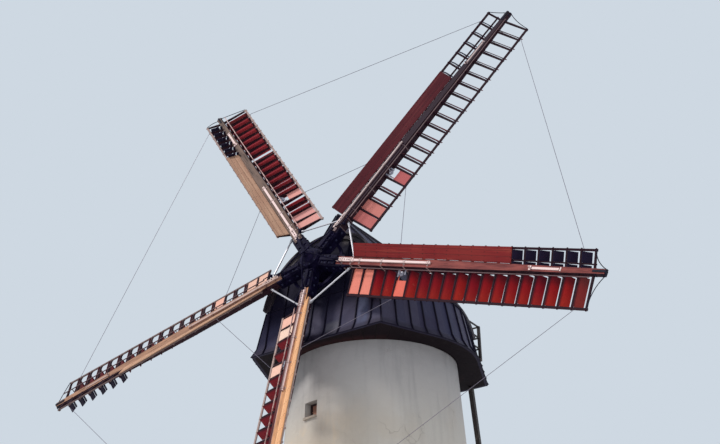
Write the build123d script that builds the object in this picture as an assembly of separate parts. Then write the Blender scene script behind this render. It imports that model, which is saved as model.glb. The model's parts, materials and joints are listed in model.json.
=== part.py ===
from build123d import *
import math
import os

# A five-sailed tower windmill at full size, in millimetres.
# The origin is on the ground at the tower's axis, +Z is up, and the sails face -Y at rest.

# Fits between pieces
SEAT = 0.3              # gap left where one piece rests on or in another
RUNNING_GAP = 20.0      # gap between the turning cap's underside and the tower wall
OVERCUT = 5.0           # how far a cut runs on past the face it opens

# Tower
TOWER_HEIGHT = 9700.0
TOWER_BASE_RADIUS = 3014.0
TOWER_BATTER = 0.0592   # how far the wall leans in for each unit of height
WALL_BASE_THICKNESS = 650.0
WALL_TOP_THICKNESS = 480.0
SEGMENTS = 6
WINDOW_AZIMUTH = -10.0  # measured from the front, -Y, towards +X
GROUND_FLOOR_THICKNESS = 120.0
FLOOR_THICKNESS = 180.0
FIRST_FLOOR_LEVEL = 3300.0
SECOND_FLOOR_LEVEL = 6600.0
FLOOR_HATCH = 900.0
WINDOW_WIDTH = 466.0
WINDOW_HEIGHT = 504.0
LOWER_WINDOW_LEVEL = 4600.0     # to the middle of the window
UPPER_WINDOW_LEVEL = 7820.0
WINDOW_SET_BACK = 230.0     # depth of the outer reveal
FRAME_BAR = 55.0
FRAME_DEPTH = 70.0
PANE_THICKNESS = 12.0
SILL_THICKNESS = 60.0
SILL_PROUD = 50.0
DOOR_AZIMUTH = 110.0
DOOR_WIDTH = 1000.0
DOOR_HEIGHT = 2000.0
DOOR_SET_BACK = 260.0
DOOR_FRAME_BAR = 90.0
DOOR_LEAF_THICKNESS = 50.0

# Curb track on the tower and the ring that turns on it
CURB_WIDTH = 260.0
CURB_HEIGHT = 110.0
CURB_INSET = 60.0
RING_HEIGHT = 120.0

# Cap
CAP_LAP = 94.0              # how far the cap's lower edge hangs below the tower's top
CAP_RADIUS = 3040.0         # round side walls, at the lower edge
CAP_HALF_LENGTH = 2878.0    # axis to the straight front and rear walls, at the lower edge
CAP_FRONT_HALF_WIDTH = 2109.0
CAP_LEAN = 0.2              # how far the cap walls lean in for each unit of height
CAP_WALL = 80.0             # thickness, measured level
SKIRT_HEIGHT = 260.0
SKIRT_FLARE = 90.0
SOFFIT_THICKNESS = 45.0
EAVE_RISE = 1444.0          # eave above the cap's lower edge
EAVE_OVERHANG = 35.0
ROOF_THICKNESS = 75.0
ROOF_BELLY = 90.0           # how far the roof's slopes swell out of straight
RIDGE_RISE = 2990.0         # ridge above the eave
GABLE_RISE = 2045.0         # arch top above the eave, at the front and rear
RIDGE_HALF_LENGTH = 1757.0
GABLE_ROUNDNESS = 0.9       # 1 is a true round arch, 0 a parabola
ROOF_STATIONS = (1.0, 0.66, 0.33, 0.0)  # shares of the ridge's half length
ARCH_BOARD_WIDTH = 170.0
ARCH_BOARD_PROUD = 80.0
ARCH_HOOD_WIDTH = 60.0
ARCH_HOOD_PROUD = 150.0

# Timbers inside the cap
SHEER_SPACING = 2300.0
SHEER_WIDTH = 260.0
SHEER_HEIGHT = 280.0
CROSS_BEAM_WIDTH = 240.0
TRESTLE_POST = 240.0
BEARING_WIDTH = 620.0
BEARING_LENGTH = 240.0
BEARING_BASE = 170.0        # bearing block below the shaft
NECK_SET_BACK = 1000.0      # hub to the neck bearing, along the shaft
TAIL_SET_BACK = 4500.0      # hub to the tail bearing, along the shaft

# Gallery and tail pole behind the cap
GALLERY_RISE = 1084.0       # gallery deck above the cap's lower edge
GALLERY_THICKNESS = 60.0
GALLERY_HALF_WIDTH = 1790.0
GALLERY_REACH = 3440.0      # axis to the gallery's rear edge
RAIL_HEIGHT = 1100.0
RAILS = 3
RAIL_BAR = 40.0
RAIL_POST = 80.0
RAIL_POSTS = 5
GALLERY_STRUT = 70.0
TAIL_POLE = 260.0
TAIL_BRACE = 130.0
TAIL_FOOT_Y = 7800.0
TAIL_FOOT_LEVEL = 900.0
TAIL_BRACE_SHARE = 0.93     # where the braces meet the pole, as a share of its length
TAIL_BRACE_HALF_SPREAD = 1700.0

# Sails
SAIL_COUNT = 5
FIRST_SAIL_ANGLE = -20.21   # from +X, seen from the front, turning anticlockwise
HUB_RISE = 2300.0           # hub above the tower's top
HUB_STAND_OFF = 103.0       # hub in front of the cap wall's lower edge
SHAFT_TILT = 13.74          # degrees, front end up
SHAFT_RADIUS = 230.0
NECK_RADIUS = 190.0
TAIL_RADIUS = 90.0
TAIL_SHOULDER = 60.0        # how far the shaft stands out round its tail journal
NECK_OPENING_MARGIN = 90.0  # clear space round the shaft in the front wall

STOCK_RADIUS = 9500.0       # hub centre to the stock's tip
STOCK_START = 380.0
STOCK_WIDTH = 260.0
STOCK_TIP_WIDTH = 140.0
STOCK_TAPER_START = 4400.0
HEEL_RADIUS = 1623.0
BAYS = 19
STOCK_OVERHANG = 315.0      # how far the stock passes the sail frame's last bar
BAR = 44.0
BAR_ROOT_SHARE = 0.5        # a bar's half depth at the stock, as a share of the stock's half width
RAIL_WIDTH = 62.0
RAIL_THICKNESS = 36.0
LATH = 40.0                 # inner lath of the bays beyond the leading board
LATH_OFFSET = 110.0         # stock's side to the middle of the inner lath
TRAILING_WIDTH = 946.0
TRAILING_WEATHER_HEEL = 14.8
TRAILING_WEATHER_TIP = 12.9
LEADING_WIDTH = 561.0
LEADING_WEATHER_HEEL = 37.2
LEADING_WEATHER_TIP = 27.2
BOARD_BAYS = 13             # bays that the leading board covers, from the heel
BOARD_THICKNESS = 26.0
BOARD_SEAT = 26.0           # front of the bars that carry the leading board
BOARD_EDGE_GAP = 5.0        # between the leading board and the stock
SHUTTER_SIDE_GAP = 7.0
SHUTTER_THICKNESS = 20.0
SHUTTER_PIN = 26.0
SHUTTER_OPEN_ANGLE = -68.2
CLOSED_SHUTTERS = (0, 1, 4)
SHUTTER_END_GAP = 14.0
LINK_ROD = 24.0
LINK_REACH = 180.0          # stock's centre to the rod that links the shutters

# Hub ironwork, rods and wires on the sails
BOSS_RADIUS = 330.0
BOSS_LENGTH = 420.0
CROSS_ARM_REACH = 1210.0
CROSS_PLATE = 45.0
HUB_RING_RADIUS = 810.0
HUB_RING_WIDTH = 90.0
HUB_RING_THICKNESS = 60.0
CLAMP_START = 1030.0
CLAMP_STEP = 1650.0         # where the clamp bar grows slimmer
CLAMP_END = 4340.0
CLAMP_WIDTH = 110.0
CLAMP_THICKNESS = 60.0
CLAMP_SLIM_WIDTH = 66.0
CLAMP_SLIM_THICKNESS = 46.0
TIE_INSET = 123.0          # tie rods inside the sails' heels
TIE_DIAMETER = 50.0
WIRE_DIAMETER = 14.0
INNER_WIRE_RADIUS = 3230.0
OUTER_WIRE_INSET = 335.0   # outer wires inside the sails' tips
TIP_IRON_WIDTH = 60.0
TIP_IRON_THICKNESS = 16.0
TIP_IRON_LENGTH = 330.0
TIP_IRON_REACH = 95.0       # half length of the iron across the stock's end
TIP_ROD_DIAMETER = 22.0
TIP_ROD_SAG = 45.0          # how far a tip rod bends back towards the frame
TIP_ROD_LIFT = 60.0         # and how far in front of the frame it passes
TIP_ROD_GAP = 2.0           # between a tip rod and the frame's corner

os.makedirs("parts", exist_ok=True)

CAP_BOTTOM = TOWER_HEIGHT - CAP_LAP
EAVE_LEVEL = CAP_BOTTOM + EAVE_RISE
GALLERY_LEVEL = CAP_BOTTOM + GALLERY_RISE
HUB_HEIGHT = TOWER_HEIGHT + HUB_RISE
HUB_FORWARD = CAP_HALF_LENGTH + HUB_STAND_OFF
SAIL_TIP = STOCK_RADIUS - STOCK_OVERHANG
BAY_PITCH = (SAIL_TIP - HEEL_RADIUS) / BAYS
STOCK_HALF = STOCK_WIDTH / 2
SHUTTER_WIDTH = BAY_PITCH - BAR - 2 * SHUTTER_SIDE_GAP

HUB = Vector(0, -HUB_FORWARD, HUB_HEIGHT)
TILT = math.radians(SHAFT_TILT)
SHAFT_OUT = Vector(0, -math.cos(TILT), math.sin(TILT))
HUB_PLANE = Plane(origin=HUB, x_dir=(1, 0, 0), z_dir=SHAFT_OUT)
LEAN_LENGTH = math.hypot(1, CAP_LEAN)


def save(node, *solids):
    shape = solids[0] if len(solids) == 1 else Compound(children=list(solids))
    export_step(shape, f"parts/{node}.step")


def block(x0, x1, y0, y1, z0, z1):
    corner = Pos((x0 + x1) / 2, (y0 + y1) / 2, (z0 + z1) / 2)
    return corner * Box(x1 - x0, y1 - y0, z1 - z0)


def beam(start, end, width, depth, side=(1, 0, 0)):
    # a square timber between two points, with its width along the given side direction
    start, end = Vector(*start), Vector(*end)
    along = end - start
    plane = Plane(origin=start, x_dir=side, z_dir=along)
    return extrude(plane * Rectangle(width, depth), amount=along.length)


def rod(start, end, diameter):
    start, end = Vector(*start), Vector(*end)
    plane = Plane(origin=start, z_dir=end - start)
    return extrude(plane * RegularPolygon(diameter / 2, 6), amount=(end - start).length)


# Tower

def outer_radius(z):
    return TOWER_BASE_RADIUS - TOWER_BATTER * z


def inner_radius(z):
    thickness = WALL_BASE_THICKNESS + (WALL_TOP_THICKNESS - WALL_BASE_THICKNESS) * z / TOWER_HEIGHT
    return outer_radius(z) - thickness


def facing(azimuth):
    # a frame whose -Y looks out of the tower at this azimuth
    return Rot(0, 0, azimuth)


def wall_opening(width, low, high):
    return block(-width / 2, width / 2,
                 -TOWER_BASE_RADIUS - OVERCUT, -inner_radius(TOWER_HEIGHT) / 2, low, high)


def window_level(centre):
    return centre - WINDOW_HEIGHT / 2, centre + WINDOW_HEIGHT / 2


def wall_segment(index):
    step = 360 / SEGMENTS
    section = Plane.XZ * Polygon(
        (inner_radius(0), 0), (outer_radius(0), 0),
        (outer_radius(TOWER_HEIGHT), TOWER_HEIGHT), (inner_radius(TOWER_HEIGHT), TOWER_HEIGHT),
        align=None)
    wall = Rot(0, 0, -90 - step / 2) * revolve(section, Axis.Z, step)
    if index % (SEGMENTS // 2) == 0:
        for centre in (LOWER_WINDOW_LEVEL, UPPER_WINDOW_LEVEL):
            wall -= wall_opening(WINDOW_WIDTH, *window_level(centre))
    if index == round((DOOR_AZIMUTH - WINDOW_AZIMUTH) / step):
        wall -= wall_opening(DOOR_WIDTH, 0, DOOR_HEIGHT)
    return facing(WINDOW_AZIMUTH + index * step) * wall


def floor_disc(bottom, thickness, hatch):
    top = bottom + thickness
    section = Plane.XZ * Polygon(
        (0, bottom), (inner_radius(bottom) - SEAT, bottom), (inner_radius(top) - SEAT, top), (0, top),
        align=None)
    disc = revolve(section, Axis.Z, 360)
    if hatch:
        disc -= block(-hatch / 2, hatch / 2, -hatch / 2, hatch / 2, bottom - OVERCUT, top + OVERCUT)
    return disc


def opening_frame(width, low, high, bar, depth, front, has_foot=True):
    # a timber frame set in a wall opening, its outer face at y = front
    half = width / 2 - SEAT
    bottom = low + (SEAT if has_foot else 0)
    frame = block(-half, half, front, front + depth, bottom, high - SEAT)
    inner_low = bottom + (bar if has_foot else -OVERCUT)
    frame -= block(-half + bar, half - bar, front - OVERCUT, front + depth + OVERCUT,
                   inner_low, high - SEAT - bar)
    return frame


def build_tower():
    for index in range(SEGMENTS):
        save(f"tower_wall_{index + 1}", wall_segment(index))
    save("ground_floor", floor_disc(0, GROUND_FLOOR_THICKNESS, 0))
    save("upper_floors", *[floor_disc(level - FLOOR_THICKNESS, FLOOR_THICKNESS, FLOOR_HATCH)
                           for level in (FIRST_FLOOR_LEVEL, SECOND_FLOOR_LEVEL)])
    build_windows()
    build_door()
    curb_outer = outer_radius(TOWER_HEIGHT) - CURB_INSET
    curb = Cylinder(curb_outer, CURB_HEIGHT) - Cylinder(curb_outer - CURB_WIDTH, CURB_HEIGHT)
    save("curb", Pos(0, 0, TOWER_HEIGHT + CURB_HEIGHT / 2) * curb)


def build_windows():
    frames, panes = [], []
    for turn in (0, 180):
        for centre in (LOWER_WINDOW_LEVEL, UPPER_WINDOW_LEVEL):
            low, high = window_level(centre)
            place = facing(WINDOW_AZIMUTH + turn)
            front = -outer_radius(centre) + WINDOW_SET_BACK
            frame = opening_frame(WINDOW_WIDTH, low + SILL_THICKNESS - SEAT, high,
                                  FRAME_BAR, FRAME_DEPTH, front)
            sill_half = WINDOW_WIDTH / 2 - SEAT
            frame += block(-sill_half, sill_half, -outer_radius(low) - SILL_PROUD, front + FRAME_DEPTH,
                           low + SEAT, low + SILL_THICKNESS)
            frames.append(place * frame)
            half = WINDOW_WIDTH / 2 - FRAME_BAR - 2 * SEAT
            pane_front = front + (FRAME_DEPTH - PANE_THICKNESS) / 2
            pane_low = low + SILL_THICKNESS + FRAME_BAR + 2 * SEAT
            pane = block(-half, half, pane_front, pane_front + PANE_THICKNESS,
                         pane_low, high - FRAME_BAR - 2 * SEAT)
            panes.append(place * pane)
    save("window_frames", *frames)
    save("window_panes", *panes)


def build_door():
    front = -outer_radius(DOOR_HEIGHT) + DOOR_SET_BACK
    frame = opening_frame(DOOR_WIDTH, 0, DOOR_HEIGHT, DOOR_FRAME_BAR, FRAME_DEPTH, front, has_foot=False)
    half = DOOR_WIDTH / 2 - DOOR_FRAME_BAR - 2 * SEAT
    leaf = block(-half, half, front + SEAT, front + DOOR_LEAF_THICKNESS,
                 SEAT, DOOR_HEIGHT - DOOR_FRAME_BAR - 2 * SEAT)
    save("door_frame", facing(DOOR_AZIMUTH) * frame)
    save("door_leaf", facing(DOOR_AZIMUTH) * leaf)


# Cap

def tangent_azimuth():
    corner = math.hypot(CAP_FRONT_HALF_WIDTH, CAP_HALF_LENGTH)
    corner_azimuth = math.atan2(CAP_FRONT_HALF_WIDTH, CAP_HALF_LENGTH)
    return corner_azimuth + math.acos(CAP_RADIUS / corner)


def cap_inset(z):
    return CAP_LEAN * (z - CAP_BOTTOM)


def cap_plan(z, inset):
    # round sides joined by tangents to the straight front and rear, drawn in by the inset
    radius, length = CAP_RADIUS - inset, CAP_HALF_LENGTH - inset
    azimuth = tangent_azimuth()
    corner = (radius - length * math.cos(azimuth)) / math.sin(azimuth)
    tx, ty = radius * math.sin(azimuth), radius * math.cos(azimuth)
    outline = [
        Line((-corner, -length), (corner, -length)),
        Line((corner, -length), (tx, -ty)),
        ThreePointArc((tx, -ty), (radius, 0), (tx, ty)),
        Line((tx, ty), (corner, length)),
        Line((corner, length), (-corner, length)),
        Line((-corner, length), (-tx, ty)),
        ThreePointArc((-tx, ty), (-radius, 0), (-tx, -ty)),
        Line((-tx, -ty), (-corner, -length)),
    ]
    return Pos(0, 0, z) * make_face(outline)


def cap_half_width(y, inset):
    radius = CAP_RADIUS - inset
    azimuth = tangent_azimuth()
    if abs(y) < radius * math.cos(azimuth):
        return math.sqrt(radius ** 2 - y ** 2)
    return (radius - abs(y) * math.cos(azimuth)) / math.sin(azimuth)


def cap_body(low, high, inset):
    return loft([cap_plan(low, cap_inset(low) + inset), cap_plan(high, cap_inset(high) + inset)], ruled=True)


def lean_plane(side, depth=0.0):
    # the front (side -1) or rear (side 1) wall face at the eave, moved in by depth
    y = side * (CAP_HALF_LENGTH - cap_inset(EAVE_LEVEL))
    outward = Vector(0, side, CAP_LEAN)
    plane = Plane(origin=(0, y, EAVE_LEVEL), x_dir=(1, 0, 0), z_dir=outward)
    return plane.offset(-depth)


def arch(half_width, rise, roundness, sign=1):
    # half of an arch from its top to its springing, between a parabola and a round arch
    round_share = 4 / 3 * (math.sqrt(2) - 1)    # the handles of a quarter of an ellipse
    top = 1 / 3 + (round_share - 1 / 3) * roundness
    low_x = 2 / 3 + (1 - 2 / 3) * roundness
    low_y = 2 / 3 + (round_share - 2 / 3) * roundness
    return Bezier((0, rise), (sign * top * half_width, rise),
                  (sign * low_x * half_width, low_y * rise), (sign * half_width, 0))


def arch_panel(half_width, rise, roundness):
    return make_face([arch(half_width, rise, roundness), arch(half_width, rise, roundness, -1),
                      Line((-half_width, 0), (half_width, 0))])


def gable_half_width():
    return cap_half_width(CAP_HALF_LENGTH - cap_inset(EAVE_LEVEL), cap_inset(EAVE_LEVEL)) + EAVE_OVERHANG


def gable_rise():
    return GABLE_RISE * LEAN_LENGTH


def on_lean(side, shape):
    # shapes on a gable are drawn with y up the slope
    plane = lean_plane(side)
    flip = Rot(0, 0, 0) if side < 0 else Rot(0, 0, 180)
    return plane * flip * shape


def gable_panel(side):
    half = gable_half_width() - ROOF_THICKNESS - SEAT
    rise = gable_rise() - ROOF_THICKNESS - SEAT
    return extrude(on_lean(side, arch_panel(half, rise, GABLE_ROUNDNESS)), amount=-CAP_WALL / LEAN_LENGTH)


def beyond(side, depth):
    # everything outside the front or rear wall's inner face
    size = 4 * CAP_RADIUS
    return extrude(lean_plane(side, depth) * Rectangle(size, size), amount=size)


def neck_opening():
    radius = SHAFT_RADIUS + NECK_OPENING_MARGIN
    return HUB_PLANE * Pos(0, 0, -NECK_SET_BACK) * Cylinder(radius, 2 * NECK_SET_BACK - 2 * BOSS_LENGTH)


def skirt_body(grow, high=CAP_BOTTOM + SKIRT_HEIGHT):
    # the flared foot of the cap walls, grown outwards all round
    share = (high - CAP_BOTTOM) / SKIRT_HEIGHT
    top_inset = -SKIRT_FLARE + share * (cap_inset(CAP_BOTTOM + SKIRT_HEIGHT) + SKIRT_FLARE)
    return loft([cap_plan(CAP_BOTTOM, -SKIRT_FLARE - grow), cap_plan(high, top_inset - grow)], ruled=True)


def build_cap_walls(roof):
    low = CAP_BOTTOM + SKIRT_HEIGHT
    outer = cap_body(low, EAVE_LEVEL, 0)
    inner = cap_body(low, EAVE_LEVEL, CAP_WALL)
    ring = outer - inner
    front, rear = [beyond(side, CAP_WALL / LEAN_LENGTH) for side in (-1, 1)]
    size = 2 * CAP_RADIUS
    sides = ring - front - rear
    front_wall = (outer & front) + gable_panel(-1) - neck_opening()
    rear_wall = (outer & rear) + gable_panel(1)
    for half in roof:
        front_wall -= half
        rear_wall -= half
    save("cap_front_wall", front_wall)
    save("cap_rear_wall", rear_wall)
    save("cap_right_wall", sides & block(0, size, -size, size, 0, EAVE_LEVEL))
    save("cap_left_wall", sides & block(-size, 0, -size, size, 0, EAVE_LEVEL))
    save("cap_skirt", skirt_body(0) - skirt_body(-CAP_WALL))


def build_soffit():
    plate = skirt_body(-CAP_WALL - SEAT, CAP_BOTTOM + SOFFIT_THICKNESS)
    hole = Cylinder(outer_radius(CAP_BOTTOM) + RUNNING_GAP, 4 * SOFFIT_THICKNESS)
    save("cap_soffit", plate - Pos(0, 0, CAP_BOTTOM) * hole)


def roof_slope(half_width, rise):
    # one nearly straight side of a pointed section
    third = half_width / 3
    return Bezier((0, rise), (third, rise * 2 / 3 + ROOF_BELLY), (2 * third, rise / 3 + ROOF_BELLY),
                  (half_width, 0))


def gable_arch(half_width, rise):
    return arch(half_width, rise, GABLE_ROUNDNESS)


def roof_band(station_plane, curve, half_width, rise):
    outer = curve(half_width, rise)
    inner = curve(half_width - ROOF_THICKNESS, rise - ROOF_THICKNESS)
    band = make_face([outer, inner, Line((0, rise), (0, rise - ROOF_THICKNESS)),
                      Line((half_width, 0), (half_width - ROOF_THICKNESS, 0))])
    return station_plane * band


def roof_half():
    eave_inset = cap_inset(EAVE_LEVEL)
    bands = [roof_band(Plane(origin=(0, lean_plane(-1).origin.Y, EAVE_LEVEL), x_dir=(1, 0, 0),
                             z_dir=Vector(0, -1, CAP_LEAN)),
                       gable_arch, gable_half_width(), gable_rise())]
    shares = [-s for s in ROOF_STATIONS] + list(reversed(ROOF_STATIONS))[1:]
    for share in shares:
        y = share * RIDGE_HALF_LENGTH
        plane = Plane(origin=(0, y, EAVE_LEVEL), x_dir=(1, 0, 0), z_dir=(0, -1, 0))
        bands.append(roof_band(plane, roof_slope, cap_half_width(y, eave_inset) + EAVE_OVERHANG, RIDGE_RISE))
    rear = Plane(origin=(0, lean_plane(1).origin.Y, EAVE_LEVEL), x_dir=(1, 0, 0),
                 z_dir=Vector(0, -1, -CAP_LEAN))
    bands.append(roof_band(rear, gable_arch, gable_half_width(), gable_rise()))
    return loft(bands, ruled=True)


def build_roof():
    right = roof_half()
    left = mirror(right, Plane.YZ)
    save("cap_roof_right", right)
    save("cap_roof_left", left)
    return right, left


def arch_band(half_width, rise, width):
    return (arch_panel(half_width, rise, GABLE_ROUNDNESS)
            - arch_panel(half_width - width, rise - width, GABLE_ROUNDNESS))


def gable_boards(side):
    half, rise = gable_half_width(), gable_rise()
    board = extrude(on_lean(side, arch_band(half, rise, ARCH_BOARD_WIDTH)), amount=ARCH_BOARD_PROUD)
    hood = extrude(on_lean(side, arch_band(half + ARCH_HOOD_WIDTH / 2, rise + ARCH_HOOD_WIDTH / 2,
                                           ARCH_HOOD_WIDTH)), amount=ARCH_HOOD_PROUD)
    return board + hood


def shaft_point(set_back, below=0.0):
    point = HUB - SHAFT_OUT * set_back
    return point - Vector(0, 0, below)


def build_cap_frame():
    ring_bottom = TOWER_HEIGHT + CURB_HEIGHT + SEAT
    ring_outer = outer_radius(TOWER_HEIGHT) - CURB_INSET
    ring = Cylinder(ring_outer, RING_HEIGHT) - Cylinder(ring_outer - CURB_WIDTH, RING_HEIGHT)
    save("cap_ring", Pos(0, 0, ring_bottom + RING_HEIGHT / 2) * ring)
    beam_low = ring_bottom + RING_HEIGHT
    beam_high = beam_low + SHEER_HEIGHT
    cavity = cap_body(beam_low - OVERCUT, beam_high + OVERCUT, CAP_WALL + SEAT)
    reach = 2 * CAP_RADIUS
    inner_x, outer_x = (SHEER_SPACING - SHEER_WIDTH) / 2, (SHEER_SPACING + SHEER_WIDTH) / 2
    timbers = block(inner_x, outer_x, -reach, reach, beam_low, beam_high)
    timbers += block(-outer_x, -inner_x, -reach, reach, beam_low, beam_high)
    half = CROSS_BEAM_WIDTH / 2
    for y in (shaft_point(NECK_SET_BACK).Y, 0, shaft_point(TAIL_SET_BACK).Y):
        timbers += block(-reach, reach, y - half, y + half, beam_low, beam_high)
    save("cap_timbers", timbers & cavity)
    return beam_high


def bearing_trestle(node, set_back, journal_radius, foot):
    # two posts and a head beam carry a split block that the shaft turns in
    centre = shaft_point(set_back)
    block_plane = Plane(origin=centre, x_dir=(1, 0, 0), z_dir=SHAFT_OUT)
    half = BEARING_LENGTH / 2
    low = -journal_radius - BEARING_BASE
    bearing = block_plane * block(-BEARING_WIDTH / 2, BEARING_WIDTH / 2, low, 0, -half, half)
    bearing -= block_plane * Cylinder(journal_radius + SEAT, 2 * BEARING_LENGTH)
    head_top = centre.Z + (low + half * math.sin(TILT)) * math.cos(TILT)
    head_low = max(head_top - TRESTLE_POST, foot)   # the head rests on the sheers where they are near
    inside = SHEER_SPACING / 2
    front, back = centre.Y - TRESTLE_POST / 2, centre.Y + TRESTLE_POST / 2
    head_reach = inside + SHEER_WIDTH / 2
    trestle = bearing + block(-head_reach, head_reach, front, back, head_low, head_top)
    if head_low > foot:
        for x in (-inside, inside):
            trestle += block(x - TRESTLE_POST / 2, x + TRESTLE_POST / 2, front, back, foot, head_low)
    save(node, trestle)


def rear_wall_y(z):
    return CAP_HALF_LENGTH - cap_inset(z)


def build_gallery():
    top = GALLERY_LEVEL
    low = top - GALLERY_THICKNESS
    half = GALLERY_HALF_WIDTH
    wall = beyond(1, -SEAT)
    deck = block(-half, half, 0, GALLERY_REACH, low, top) & wall
    post, bar = RAIL_POST / 2, RAIL_BAR / 2
    line = GALLERY_REACH - post     # the middle of the rear rails
    spacing = 2 * (half - post) / (RAIL_POSTS - 1)
    railing = None
    for index in range(RAIL_POSTS):
        x = post - half + index * spacing
        upright = block(x - post, x + post, line - post, line + post, top, top + RAIL_HEIGHT)
        railing = upright if railing is None else railing + upright
    for index in range(RAILS):
        high = top + RAIL_HEIGHT * (index + 1) / RAILS
        railing += block(post - half, half - post, line - bar, line + bar, high - RAIL_BAR, high)
        for side in (-1, 1):
            x = side * (half - post)
            railing += block(x - bar, x + bar, 0, line, high - RAIL_BAR, high) & wall
    save("gallery_railing", railing - gable_boards(1))
    for side in (-1, 1):
        x = side * (half - GALLERY_STRUT)
        foot_z = CAP_BOTTOM + SKIRT_HEIGHT + GALLERY_STRUT
        strut = beam((x, rear_wall_y(foot_z) - GALLERY_STRUT, foot_z), (x, line, low + GALLERY_STRUT / 2),
                     GALLERY_STRUT, GALLERY_STRUT)
        deck += strut & wall & block(-2 * half, 2 * half, 0, 2 * GALLERY_REACH, 0, low)
    save("gallery_deck", deck)


def build_tail_pole():
    head_z = CAP_BOTTOM + SKIRT_HEIGHT + TAIL_POLE
    head = (0, rear_wall_y(head_z), head_z)
    foot = (0, TAIL_FOOT_Y, TAIL_FOOT_LEVEL)
    pole = beam(head, foot, TAIL_POLE, TAIL_POLE) - skirt_body(SEAT)
    pole -= cap_body(CAP_BOTTOM + SKIRT_HEIGHT, EAVE_LEVEL, -SEAT)
    head, foot = Vector(*head), Vector(*foot)
    meet = head + (foot - head) * TAIL_BRACE_SHARE
    for side in (-1, 1):
        start = Vector(side * TAIL_BRACE_HALF_SPREAD, CAP_HALF_LENGTH - TAIL_BRACE, CAP_BOTTOM - SEAT)
        pole += beam(start, meet, TAIL_BRACE, TAIL_BRACE) & block(-CAP_RADIUS, CAP_RADIUS, 0, 2 * TAIL_FOOT_Y,
                                                                  0, CAP_BOTTOM - SEAT)
    save("tail_pole", pole)


def build_cap():
    build_cap_walls(build_roof())
    build_soffit()
    save("gable_boards", gable_boards(-1), gable_boards(1))
    foot = build_cap_frame()
    bearing_trestle("neck_bearing", NECK_SET_BACK, NECK_RADIUS, foot)
    bearing_trestle("tail_bearing", TAIL_SET_BACK, TAIL_RADIUS, foot)
    build_gallery()
    build_tail_pole()


# Sails: each is drawn along +X from the hub, with +Y the leading side and +Z the front

def sail_plane(index):
    angle = math.radians(FIRST_SAIL_ANGLE + index * 360 / SAIL_COUNT)
    across = Vector(0, math.sin(TILT), math.cos(TILT))
    along = Vector(math.cos(angle), 0, 0) + across * math.sin(angle)
    return Plane(origin=HUB, x_dir=along, z_dir=SHAFT_OUT)


def stock_half_width(r):
    if r < STOCK_TAPER_START:
        return STOCK_HALF
    share = (r - STOCK_TAPER_START) / (STOCK_RADIUS - STOCK_TAPER_START)
    return STOCK_HALF + share * (STOCK_TIP_WIDTH / 2 - STOCK_HALF)


def make_stock():
    across = Plane.YZ
    inner = extrude(across.offset(STOCK_START) * Rectangle(STOCK_WIDTH, STOCK_WIDTH),
                    amount=STOCK_TAPER_START - STOCK_START)
    outer = loft([across.offset(STOCK_TAPER_START) * Rectangle(STOCK_WIDTH, STOCK_WIDTH),
                  across.offset(STOCK_RADIUS) * Rectangle(STOCK_TIP_WIDTH, STOCK_TIP_WIDTH)], ruled=True)
    return inner + outer


def edge_point(side, r):
    # the rail's centre line is straight between the heel and the tip: side 1 leads, -1 trails
    width = LEADING_WIDTH if side > 0 else TRAILING_WIDTH
    heel = LEADING_WEATHER_HEEL if side > 0 else TRAILING_WEATHER_HEEL
    tip = LEADING_WEATHER_TIP if side > 0 else TRAILING_WEATHER_TIP
    share = (r - HEEL_RADIUS) / (SAIL_TIP - HEEL_RADIUS)
    ends = [(width * math.cos(math.radians(a)), width * math.sin(math.radians(a))) for a in (heel, tip)]
    y = ends[0][0] + share * (ends[1][0] - ends[0][0])
    z = ends[0][1] + share * (ends[1][1] - ends[0][1])
    return math.hypot(y, z), math.atan2(z, y)


def bay_plane(side, r):
    # x along the sail, y out to the leading side along the weather
    weather = edge_point(side, r)[1]
    front = Vector(0, -math.sin(weather), math.cos(weather))
    return Plane(origin=(r, 0, 0), x_dir=(1, 0, 0), z_dir=front)


def bay_point(side, r, y, z):
    # a point y out from the stock's centre along the weather, and z in front of it
    plane = bay_plane(side, r)
    return plane.origin + plane.y_dir * (side * y) + plane.z_dir * z


def middle_weather(side):
    return edge_point(side, (HEEL_RADIUS + SAIL_TIP) / 2)[1]


def lath(side, ends, width, thickness):
    # a straight timber along the sail, set square to the weather at mid length
    weather = middle_weather(side)
    return beam(*ends, width, thickness, side=(0, math.cos(weather), math.sin(weather)))


def rail(side):
    ends = [bay_point(side, r, edge_point(side, r)[0] - RAIL_WIDTH / 2, 0)
            for r in (HEEL_RADIUS - BAR, SAIL_TIP + BAR)]
    return lath(side, ends, RAIL_WIDTH, RAIL_THICKNESS)


def bar_radii():
    return [HEEL_RADIUS + index * BAY_PITCH for index in range(BAYS + 1)]


def bar_profile(side, r):
    # deep at the stock and slim at the rail, with a level front where the leading board lies
    root = BAR_ROOT_SHARE * stock_half_width(r)
    reach = side * (edge_point(side, r)[0] - RAIL_WIDTH / 2)
    front = (BOARD_SEAT, BOARD_SEAT) if side > 0 else (root, BAR / 2)
    return Plane.YZ * Polygon((0, -root), (reach, -BAR / 2), (reach, front[1]), (0, front[0]), align=None)


def lath_middle(r):
    # the inner lath's distance from the stock's centre, along the leading weather
    return stock_half_width(r) / math.cos(edge_point(1, r)[1]) + LATH_OFFSET


def inner_lath():
    first = HEEL_RADIUS + BOARD_BAYS * BAY_PITCH
    ends = [bay_point(1, r, lath_middle(r), 0) for r in (first, SAIL_TIP + BAR)]
    return lath(1, ends, LATH, LATH)


def make_lattice(side, stock):
    lattice = rail(side)
    for r in bar_radii():
        lattice += bay_plane(side, r) * extrude(bar_profile(side, r), amount=BAR / 2, both=True)
    if side > 0:
        lattice += inner_lath()
    return lattice - stock


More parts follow.
